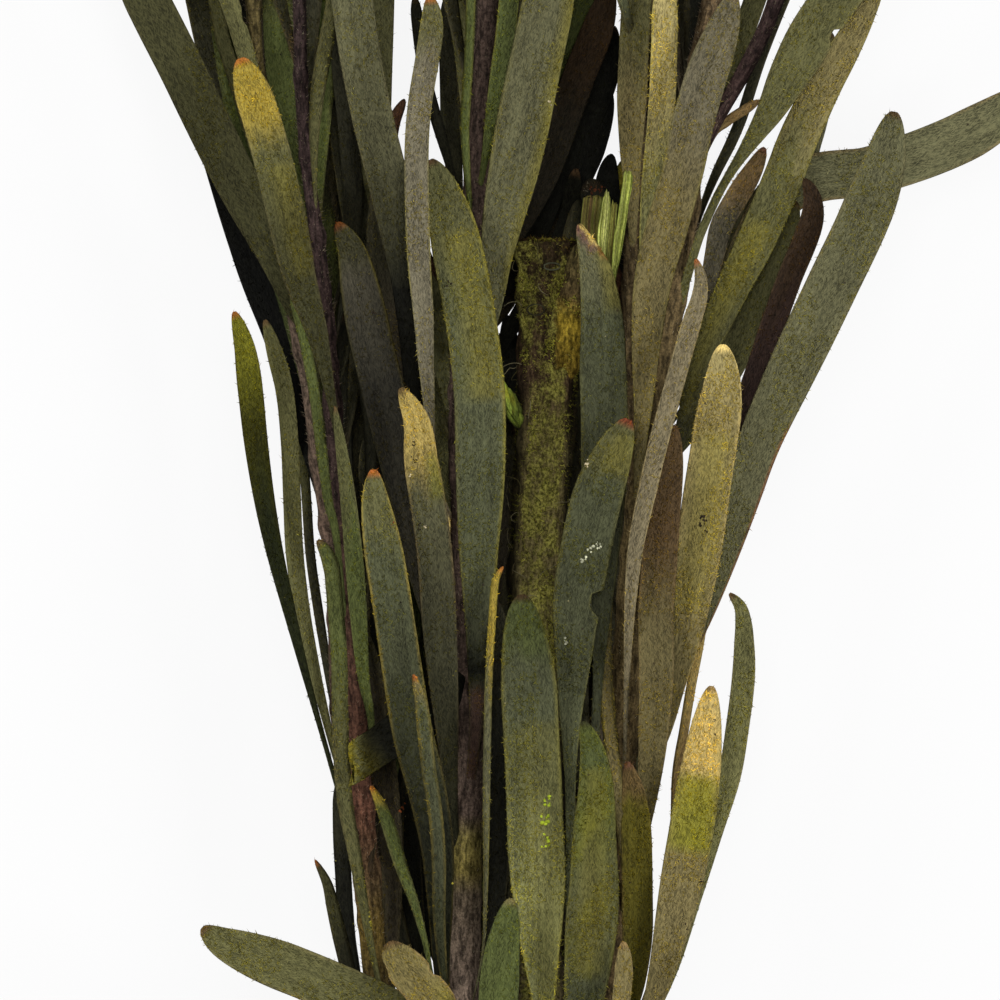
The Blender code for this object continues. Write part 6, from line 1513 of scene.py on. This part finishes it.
def painted_flank_shade(points):
    """Painted shade for the old wood's flanks: 1 on its face, low at its sides; it darkens their bark and
    moss and thins their moss.
    """
    wood = np.asarray(STEMS["W"], float)
    aside = points[:, 0] - np.interp(points[:, 1], wood[:, 1], wood[:, 0])
    return 1 - 0.86 * smooth((np.abs(aside - 0.3) - 2.9) / 1.7) * smooth((26 - points[:, 1]) / 6)


def build_wood():
    """Old wood with its collars, the torn twig, moss and fine fibres."""
    bark = Batch()
    dense = fine_tube(bark, STEMS["W"], 60, 0.9, WOOD_TONES, 3, WOOD_KNOTS, rough=0.035, relief=0.9)
    twig = fine_tube(bark, TWIG[:-1] + [TWIG_END], 36, 0.6, TWIG_TONES, 5, rough=0.06, relief=0.9)
    wood, side_twig = bark.verts
    # Painted shade: the flanks' bark is darker and their moss thinner
    shade = painted_flank_shade(wood)
    bark.tones[0] = bark.tones[0] * shade[:, None]
    bark.dusts[0] = shade * (0.82 - 0.12 * smooth((wood[:, 1] - 20) / 8))
    share = smooth((side_twig[:, 0] - 9.4) / 1.4)
    bark.tones[1] = mix(bark.tones[1], tint(70, 56, 38), 1 - share)
    bark.dusts[1] = 0.74 - 0.34 * share
    for stem, y in FORKS.items():
        fork, seat = stem_at("W", y), stem_table(stem)
        end = seat[0][:3] - unit(seat[1][:3] - seat[0][:3]) * SEAT_GAP
        points = [(*fork[:3], seat[0][3] + 1.0), (*(0.5 * fork[:3] + 0.5 * end), seat[0][3] + 0.9),
                  (*end, seat[0][3] + 0.4)]
        fine_tube(bark, points, 28, 0.6, WOOD_TONES, int(-y), rough=0.04, dust=0.4, relief=0.4)
    add_piece("old_wood_bark", bark, "old_bark", "old_wood", "old_wood")

    rng = random.Random(SEED + 40)
    add_piece("old_wood_moss", moss_on(dense, twig, rng), "green_wood", "old_wood", "old_wood")
    add_piece("old_wood_threads", threads_on(dense, rng), "green_wood", "old_wood", "old_wood")


def moss_on(dense, twig, rng):
    """Moss on the old wood and the twig, and tufts that stand over the rim of the cut top."""
    moss = Batch()
    for rows, count, low, high in ((dense, 13000, -130, 47), (dense, 2600, 20, 48), (twig, 2200, 18, 47)):
        points, out = stem_skin(rows, -0.1, rng, count, low, high)
        thick = np.array([noise.noise(Vector(p) * 0.22) + 0.35 * noise.noise(Vector(p) * 0.9)
                          for p in points])
        keep = thick > -0.12 + 0.14 * smooth((points[:, 1] - 22) / 10)
        points, out = points[keep], out[keep]
        count = len(points)
        ways = 0.6 * out + draws(rng, count, (-1, 1), (-1.1, 1.1), (-0.5, 0.5))
        tone = picks(rng, count, *MOSS_TONES)
        # Painted shade: moss on the old wood's flanks is darker
        if rows is dense:
            tone = tone * painted_flank_shade(points)[:, None]
        tone = tone * (1 - 0.35 * smooth((points[:, 1] - 24) / 12) * rng.random())[:, None]
        spikes(moss, points, ways, draws(rng, count, (0.35, 0.95)), draws(rng, count, (0.07, 0.15)), tone, 3)
    top = stem_at("W", 47)
    rows = []
    for _ in range(TUFTS):
        angle, away = rng.uniform(0, 2 * math.pi), top[3] * math.sqrt(rng.random())
        root = top[:3] + np.array([math.cos(angle) * away, rng.uniform(-2.4, 0.1), math.sin(angle) * away])
        way = (rng.uniform(-1, 1), rng.uniform(-0.2, 1.0), rng.uniform(-0.4, 0.9))
        rows.append((root, way, rng.uniform(0.3, 1.5), rng.uniform(0.1, 0.3),
                     tint(*rng.choice(TUFT_TONES))))
    spikes(moss, *(np.array(part) for part in zip(*rows)), 5)
    return moss


def threads_on(dense, rng):
    """Rings and loose fibres on the old wood."""
    threads = Batch()
    for x, y, wide, tall, tone in RINGS:
        spot = stem_at("W", y)
        turns = np.linspace(0, 2 * math.pi, 15)
        px, py = x + wide * np.cos(turns), y + tall * np.sin(turns)
        pz = spot[2] + np.sqrt(np.maximum(spot[3] ** 2 - (px - spot[0]) ** 2, 0.5)) + 0.25
        strand(threads, np.stack([px, py, pz], axis=1), 0.15, [0.7 * part for part in tone], 90 + int(y), 5)
    for k in range(FIBRES):
        rng.randrange(len(dense))    # a draw that keeps those after it as they are
        base = stem_at("W", rng.uniform(-24, 44))
        angle = rng.uniform(0.0, math.pi)
        here = base[:3] + np.array([math.cos(angle), 0, math.sin(angle)]) * (base[3] + 0.1)
        step = np.array([math.cos(angle) * 0.5, rng.uniform(-0.5, 1.0), math.sin(angle) * 0.6])
        points = []
        for _ in range(6):
            points.append(here)
            step = step + draws(rng, 1, (-0.8, 0.8), (-0.8, 0.8), (-0.5, 0.35))[0]
            here = here + unit(step) * rng.uniform(0.5, 1.3)
        strand(threads, points, rng.uniform(0.05, 0.08), rng.choice(FIBRE_TONES), k)
    return threads


def torn_slab(batch, rows, high, peaks, shades, number, rng):
    """A slab of split wood: grain ridges along it and a torn top."""
    rows = np.array(rows, float)
    count, across = 34, 20
    y = np.linspace(rows[0, 0], rows[-1, 0], count)
    left, right = np.interp(y, rows[:, 0], rows[:, 1]), np.interp(y, rows[:, 0], rows[:, 2])
    u = np.linspace(0, 1, across)
    ridge = draws(rng, across, (-0.22, 0.3))
    shade = picks(rng, across, *shades)
    top = np.interp(u, np.linspace(0, 1, len(peaks)), peaks) + draws(rng, across, (-0.25, 0.35))
    share = smooth((y - y[-1] + 5.0) / 5.0)[:, None]
    grid_y = y[:, None] + share * top[None, :]
    wave = 0.04 * np.sin(y * 0.9 + number)[:, None]
    grid_x = left[:, None] + (right - left)[:, None] * u[None, :] + wave
    edge = 1 - (2 * np.abs(u - 0.5)) ** 3
    grid_z = high + ridge[None, :] + 0.5 * edge[None, :] + 0.05 * np.sin(1.4 * y[:, None] + 5 * u[None, :])
    face = np.stack([grid_x, grid_y, grid_z], axis=-1)
    back = face[:, ::-1].copy()
    back[..., 2] = high - 1.6
    verts = np.concatenate([face, back], axis=1)
    tone = np.tile(shade[None], (count, 1, 1)) * (1 + 0.22 * wander(y / 16, number + 60)[:, None, None])
    tone = tone * (0.62 + 0.38 * smooth((y - y[0]) / 6))[:, None, None]
    # The underside takes the face's colours at half brightness: painted shade
    tone = np.concatenate([tone, 0.5 * tone[:, ::-1]], axis=1)
    batch.add_rings(verts, tone, verts[..., :2] / SPAN + 0.7 * number, 0.1)


def build_torn_wood():
    """Green splinters at the torn end of the twig, and a small green bud."""
    rng = random.Random(SEED + 70)
    slabs = Batch()
    for number, slab in enumerate(SLABS):
        torn_slab(slabs, *slab, number, rng)
    add_piece("torn_wood", slabs, "green_wood", "old_wood", "old_wood")

    bud = Batch()
    base, tip = np.array([3.4, 13.2, 26.5]), np.array([0.9, 21.8, 27.5])
    way = unit(tip - base)
    side = unit(np.cross(way, (0, 0, 1.0)))
    up = np.cross(side, way)
    for k, (turn, reach, width) in enumerate(BUD_LEAVES):
        out = side * math.sin(turn) + up * math.cos(turn)
        points = [tuple(base + way * 9.0 * reach * u + out * (0.5 + 0.9 * math.sin(math.pi * min(u, 0.75))))
                  for u in (0, 0.2, 0.4, 0.6, 0.8, 1.0)]
        fine_blade(bud, loose_blade("bud", "W", resample(points, SAMPLES), turn * 0.8, width), BUD_NUMBER + k)
        # Painted shade and light: the bud's leaves in turn darker, lighter and darker, which sets them apart
        bud.tones[-1] = bud.tones[-1] * (0.4, 1.35, 0.7)[k % 3]
    add_piece("green_bud", bud, "fine_leaf", "leaf")


def bract_row(batch, start, axes, row, number, rng, loose):
    """A ring of bracts that lean out, follow the cone and close over it."""
    axis, right, up = axes
    count, turn, rise, length, width, low, reach, tuck = row
    rings = 26
    s = toward_tip(rings, 0.9985)
    u, face = both_faces(np.linspace(-1, 1, 5))
    u_grid, s_grid = np.tile(u, (rings, 1)), np.tile(s[:, None], (1, len(u)))
    for k in range(count):
        angle = 2 * math.pi * k / count + turn + rng.uniform(-loose, loose)
        out = right * math.cos(angle) + up * math.sin(angle)
        across = np.cross(axis, out)
        away = low + (reach - low) * np.sin(np.clip(s * 1.5, 0, 1) * math.pi * 0.5)
        away = away - tuck * smooth((s - 0.6) / 0.4)
        centre = start + np.outer(rise + length * s, axis) + np.outer(away, out)
        half = 0.5 * width * np.interp(s, [0, 0.3, 0.65, 0.86, 1.0], [0.34, 0.8, 1.0, 0.8, 0.0]) ** 0.9
        half = half * (1 + 0.04 * wander(s, number + k, 4))
        aside = half[:, None] * u_grid
        thick = face * 0.36 * (1 - np.abs(u_grid) ** 2.4) * (s_grid < 0.995)
        lift = 0.28 * half[:, None] * u_grid ** 2 + thick
        verts = centre[:, None, :] + across * aside[..., None] - out * lift[..., None]
        tone = np.tile(np.array(PALETTE["moss"]), s_grid.shape + (1,)) * rng.uniform(0.9, 1.15)
        tone = mix(tone, PALETTE["yellow"], 0.7 * smooth((s_grid - 0.35) / 0.4))
        tone = mix(tone, PALETTE["orange"], 0.75 * smooth((s_grid - 0.86) / 0.12))
        tone = mix(tone, PALETTE["cream"], 0.3 * smooth((np.abs(u_grid) - 0.75) / 0.25))
        place = np.stack([aside / SPAN + 0.37 * (number + k), s_grid * length / SPAN + 0.6 * k], axis=-1)
        batch.add_rings(verts, tone, place, 0.25)


def build_heads():
    """Closed heads: a scaly cone inside rings of bracts."""
    chance = random.Random(SEED + 1)
    half, long = HEAD_CORE
    for index, stem in enumerate(HEADS):
        dense = resample(stem_table(stem), 200)
        axis = unit(dense[-1][:3] - dense[-3][:3])
        start = dense[-1][:3] + axis * (SEAT_GAP + 0.05)
        right = unit(np.cross(axis, (0, 0, 1.0)))
        up = np.cross(right, axis)
        wild = random.Random(SEED + 90 + index)
        batch = Batch()
        number = HEAD_NUMBER + 60 * index
        for ring, row in enumerate(BRACT_ROWS):
            rng, loose = (wild, 0.1) if ring else (chance, 0.08)
            bract_row(batch, start, (axis, right, up), row, number + 10 * ring, rng, loose)
        middle = start + axis * (long + 3.5)
        for k in range(SCALES):
            height = 1 - 2 * (k + 0.5) / SCALES
            angle = k * GOLDEN
            flat = math.sqrt(1 - height * height)
            out = right * math.cos(angle) * flat + up * math.sin(angle) * flat
            root = middle - axis * long * 0.94 * height + out * half * 0.9
            way = unit(axis + out * 0.55)
            side = unit(np.cross(way, out + axis * 0.01))
            lift = np.cross(side, way)
            points = [(*root, 0.9), (*(root + way * 1.6 + lift * 0.2), 1.0),
                      (*(root + way * 3.0 + lift * 0.1), 0.15)]
            fine_tube(batch, points, 6, 0.7, even((112, 92, 56)), number + k, dust=0.2)
        core = [(*(middle + axis * long * share), radius) for share, radius in CONE]
        fine_tube(batch, core, 24, 0.8, even((98, 84, 50)), number + 95, dust=0.2)
        neck = [(*(start + axis * along), radius) for along, radius in ((0.0, 2.1), (3.0, 2.9), (7.6, 3.0))]
        fine_tube(batch, neck, 24, 0.6, even((120, 100, 60)), number + 96, rough=0.03, dust=0.2)
        add_piece("head_%d_bracts" % (index + 1), batch, "fine_bract", "bract", "head_%d" % (index + 1))


def leaf_under(x, y):
    """The top leaf at a place seen from above: its point, its normal, tone and dustiness."""
    best = None
    for tree, tones, dusts in PLAN["skins"].values():
        hit = tree.ray_cast(Vector((x, y, 80.0)), Vector((0, 0, -1.0)))
        if hit[0] is not None and (best is None or hit[0].z > best[0][2]):
            normal = np.array(hit[1])
            best = (np.array(hit[0]), normal if normal[2] > 0 else -normal, tones[hit[2]], dusts[hit[2]])
    return best


def thread_place(rng, x, y):
    """Whether a tangle of threads may have one at this place."""
    thick = noise.noise(Vector((x * 0.16, y * 0.09, 4.0)))
    thick += 0.5 * noise.noise(Vector((x * 0.7, y * 0.4, 9.0)))
    return thick >= 0.1 - rng.random() * 0.35


def build_fuzz():
    """Loose pale hairs and tangled yellow-green threads that lie on the leaves."""
    rng = random.Random(SEED + 190)
    for piece, count, yellow, lean, light, lengths, widths in FUZZ:
        rows = []
        for _ in range(9 * count):
            if len(rows) == count:
                break
            x, y = rng.uniform(-58, 72), rng.uniform(-DRAWN_TO, DRAWN_TO)
            if yellow and not thread_place(rng, x, y):
                continue
            found = leaf_under(x, y)
            if found is None or yellow and rng.random() > 0.1 + found[3]:
                continue
            point, normal, tone = found[:3]
            way = np.array([rng.uniform(-1, 1), rng.uniform(*lean), 0.0])
            way = way - normal * (way @ normal) + normal * rng.uniform(0.03, 0.25)
            # The thread's tone follows the leaf's under it, painted shade and light included
            shade = tone * light * rng.uniform(0.6, 1.3)
            rows.append((point + normal * 0.02, way, rng.uniform(*lengths), rng.uniform(*widths), shade))
        batch = Batch()
        spikes(batch, *(np.array(part) for part in zip(*rows)), 11)
        add_piece(piece, batch, "green_wood", "leaf")


def crumb(batch, point, normal, radius, shade, place, rng):
    """A low uneven crumb on a leaf."""
    side = unit(np.cross(normal, (0, 1.0, 0)))
    other = np.cross(normal, side)
    rings = []
    for level, spread in ((-0.35, 0.9), (0.15, 1.0), (0.5, 0.62), (0.62, 0.15)):
        for c in range(6):
            angle = c * math.pi / 3 + level
            wobble = spread * radius * rng.uniform(0.75, 1.2)
            rings.append(point + side * math.cos(angle) * wobble + other * math.sin(angle) * wobble
                         + normal * level * radius * 0.8)
    tone = np.tile(np.array(tint(*shade)) * rng.uniform(0.8, 1.15), (4, 6, 1))
    batch.add_rings(np.array(rings).reshape(4, 6, 3), tone, np.tile(place, (4, 6, 1)), 0.0)


def build_crusts():
    """Crusts of lichen and dust, each a cluster of crumbs that lies on the leaf under it."""
    rng = random.Random(SEED + 130)
    batch = Batch()
    spots = [(x, y, size, CRUST_TONES[kind], 7) for x, y, size, kind in CRUSTS]
    for _ in range(CRUMBS):
        spots.append((rng.uniform(-48, 60), rng.uniform(-90, 90), rng.uniform(0.1, 0.22),
                      rng.choice(DUST_TONES), 1))
    for x, y, size, shade, crumbs in spots:
        many = crumbs > 1
        for _ in range(crumbs):
            px, py = x + rng.gauss(0, size * 0.45) * many, y + rng.gauss(0, size * 0.6) * many
            found = leaf_under(px, py)
            if found is not None:
                radius = size * (rng.uniform(0.25, 0.5) if many else 1.0) * 0.8
                crumb(batch, found[0], found[1], radius, shade, np.array([px, py]) / SPAN, rng)
    add_piece("leaf_crusts", batch, "green_wood", "leaf")


def build_stage(settings):
    """White table, soft light from the camera's side and a camera that looks down."""
    scene = bpy.context.scene
    mesh = bpy.data.meshes.new("table")
    mesh.from_pydata([(x * TABLE_REACH, y * TABLE_REACH, 0) for x, y in ((-1, -1), (1, -1), (1, 1), (-1, 1))],
                     [], [(0, 1, 2, 3)])
    table = bpy.data.objects.new("table", mesh)
    scene.collection.objects.link(table)
    made = bpy.data.materials.new("table")
    made.use_nodes = True
    tree = made.node_tree
    shader = tree.nodes["Principled BSDF"]
    shader.inputs["Roughness"].default_value = 0.9
    shader.inputs["Specular IOR Level"].default_value = 0.0
    glow = node(tree, "Emission", {"Color": (1.0, 1.0, 1.0, 1.0), "Strength": 1.0})
    camera_ray = node(tree, "LightPath").outputs["Is Camera Ray"]
    seen = blend(tree, camera_ray, (0.16, 0.16, 0.16, 1.0), (0.85, 0.85, 0.85, 1.0))
    tree.links.new(seen, shader.inputs["Base Color"])
    both = node(tree, "MixShader", {0: maths(tree, "MULTIPLY", camera_ray, settings.table_glow),
                                    1: shader.outputs[0], 2: glow.outputs[0]})
    tree.links.new(both.outputs[0], tree.nodes["Material Output"].inputs["Surface"])
    mesh.materials.append(made)

    world = bpy.data.worlds.new("studio")
    world.use_nodes = True
    background = world.node_tree.nodes["Background"].inputs
    background["Color"].default_value = (1.0, 1.0, 1.0, 1.0)
    background["Strength"].default_value = settings.room_light
    scene.world = world
    middle = (-ORIGIN[0] * MM, -ORIGIN[1] * MM)
    centre = Vector((*middle, 0.03))
    for name, place, size, share in LAMPS:
        light = bpy.data.lights.new(name, "AREA")
        light.size = size
        light.energy = settings.key_light * share
        lamp = bpy.data.objects.new(name, light)
        lamp.location = centre + Vector(place)
        lamp.rotation_mode = "QUATERNION"
        lamp.rotation_quaternion = (centre - lamp.location).to_track_quat("-Z", "Y")
        lamp.visible_camera = False
        scene.collection.objects.link(lamp)
    view = bpy.data.cameras.new("camera")
    view.lens = settings.lens
    view.sensor_width = SENSOR
    view.sensor_fit = "HORIZONTAL"
    view.clip_start, view.clip_end = 0.01, 30.0
    eye = bpy.data.objects.new("camera", view)
    eye.location = (*middle, FOCUS_HEIGHT + PICTURE_WIDTH * settings.lens / SENSOR)
    scene.collection.objects.link(eye)
    scene.camera = eye
    scene.view_settings.view_transform = "Standard"


class LeucadendronSettings(bpy.types.PropertyGroup):
    """What may be set before the pieces are made."""
    lens: bpy.props.FloatProperty(name="Lens", description="Focal length of the camera", default=300.0,
                                  min=50.0, unit="CAMERA")
    key_light: bpy.props.FloatProperty(name="Key light", description="Power that each lamp has a share of",
                                       default=15.8, min=0.0, unit="POWER")
    room_light: bpy.props.FloatProperty(name="Room light", description="Strength of the even light all round",
                                        default=0.07, min=0.0)
    table_glow: bpy.props.FloatProperty(name="Table glow", description="How near to white the table is seen",
                                        default=0.9, min=0.0, max=1.0, subtype="FACTOR")


class LEUCADENDRON_OT_shoots(bpy.types.Operator):
    """Make the leafy shoots: leaves, bark and hairs"""
    bl_idname = "leucadendron.shoots"
    bl_label = "Leafy shoots"

    def execute(self, context):
        for shoot in SHOOTS:
            build_shoot(shoot)
        return {"FINISHED"}


class LEUCADENDRON_OT_wood(bpy.types.Operator):
    """Make the old wood with its moss and threads"""
    bl_idname = "leucadendron.wood"
    bl_label = "Old wood"

    def execute(self, context):
        build_wood()
        return {"FINISHED"}


class LEUCADENDRON_OT_torn_wood(bpy.types.Operator):
    """Make the torn green wood and the bud"""
    bl_idname = "leucadendron.torn_wood"
    bl_label = "Torn wood and bud"

    def execute(self, context):
        build_torn_wood()
        return {"FINISHED"}


class LEUCADENDRON_OT_heads(bpy.types.Operator):
    """Make the closed heads"""
    bl_idname = "leucadendron.heads"
    bl_label = "Heads"

    def execute(self, context):
        build_heads()
        return {"FINISHED"}


class LEUCADENDRON_OT_crusts(bpy.types.Operator):
    """Lay crusts and crumbs on the leaves"""
    bl_idname = "leucadendron.crusts"
    bl_label = "Crusts"

    def execute(self, context):
        if not PLAN.get("skins"):
            raise RuntimeError("make the leafy shoots first: the crusts lie on their leaves")
        build_crusts()
        return {"FINISHED"}


class LEUCADENDRON_OT_fuzz(bpy.types.Operator):
    """Lay loose hairs and threads on the leaves"""
    bl_idname = "leucadendron.fuzz"
    bl_label = "Hairs and threads"

    def execute(self, context):
        if not PLAN.get("skins"):
            raise RuntimeError("make the leafy shoots first: the threads lie on their leaves")
        build_fuzz()
        return {"FINISHED"}


class LEUCADENDRON_OT_stage(bpy.types.Operator):
    """Make the table, the lights and the camera"""
    bl_idname = "leucadendron.stage"
    bl_label = "Stage"

    def execute(self, context):
        build_stage(context.scene.leucadendron)
        return {"FINISHED"}


class LEUCADENDRON_PT_panel(bpy.types.Panel):
    """Lists the pieces in the order in which they are made"""
    bl_label = "Leucadendron stem"
    bl_idname = "LEUCADENDRON_PT_panel"
    bl_space_type = "VIEW_3D"
    bl_region_type = "UI"
    bl_category = "Leucadendron"

    def draw(self, context):
        for kind in OPERATORS:
            self.layout.operator(kind.bl_idname)
        settings = context.scene.leucadendron
        for name in ("lens", "key_light", "room_light", "table_glow"):
            self.layout.prop(settings, name)


OPERATORS = (LEUCADENDRON_OT_shoots, LEUCADENDRON_OT_wood, LEUCADENDRON_OT_torn_wood, LEUCADENDRON_OT_heads,
             LEUCADENDRON_OT_crusts, LEUCADENDRON_OT_fuzz, LEUCADENDRON_OT_stage)
CLASSES = (LeucadendronSettings,) + OPERATORS + (LEUCADENDRON_PT_panel,)


def register():
    """Register the classes and the settings."""
    for kind in CLASSES:
        bpy.utils.register_class(kind)
    bpy.types.Scene.leucadendron = bpy.props.PointerProperty(type=LeucadendronSettings)


def unregister():
    """Remove the settings and the classes."""
    del bpy.types.Scene.leucadendron
    for kind in reversed(CLASSES):
        bpy.utils.unregister_class(kind)


def main():
    """Make every piece in order."""
    register()
    for make in (bpy.ops.leucadendron.shoots, bpy.ops.leucadendron.wood, bpy.ops.leucadendron.torn_wood,
                 bpy.ops.leucadendron.heads, bpy.ops.leucadendron.crusts, bpy.ops.leucadendron.fuzz,
                 bpy.ops.leucadendron.stage):
        make()
    bpy.context.view_layer.update()


if __name__ == "__main__":
    main()
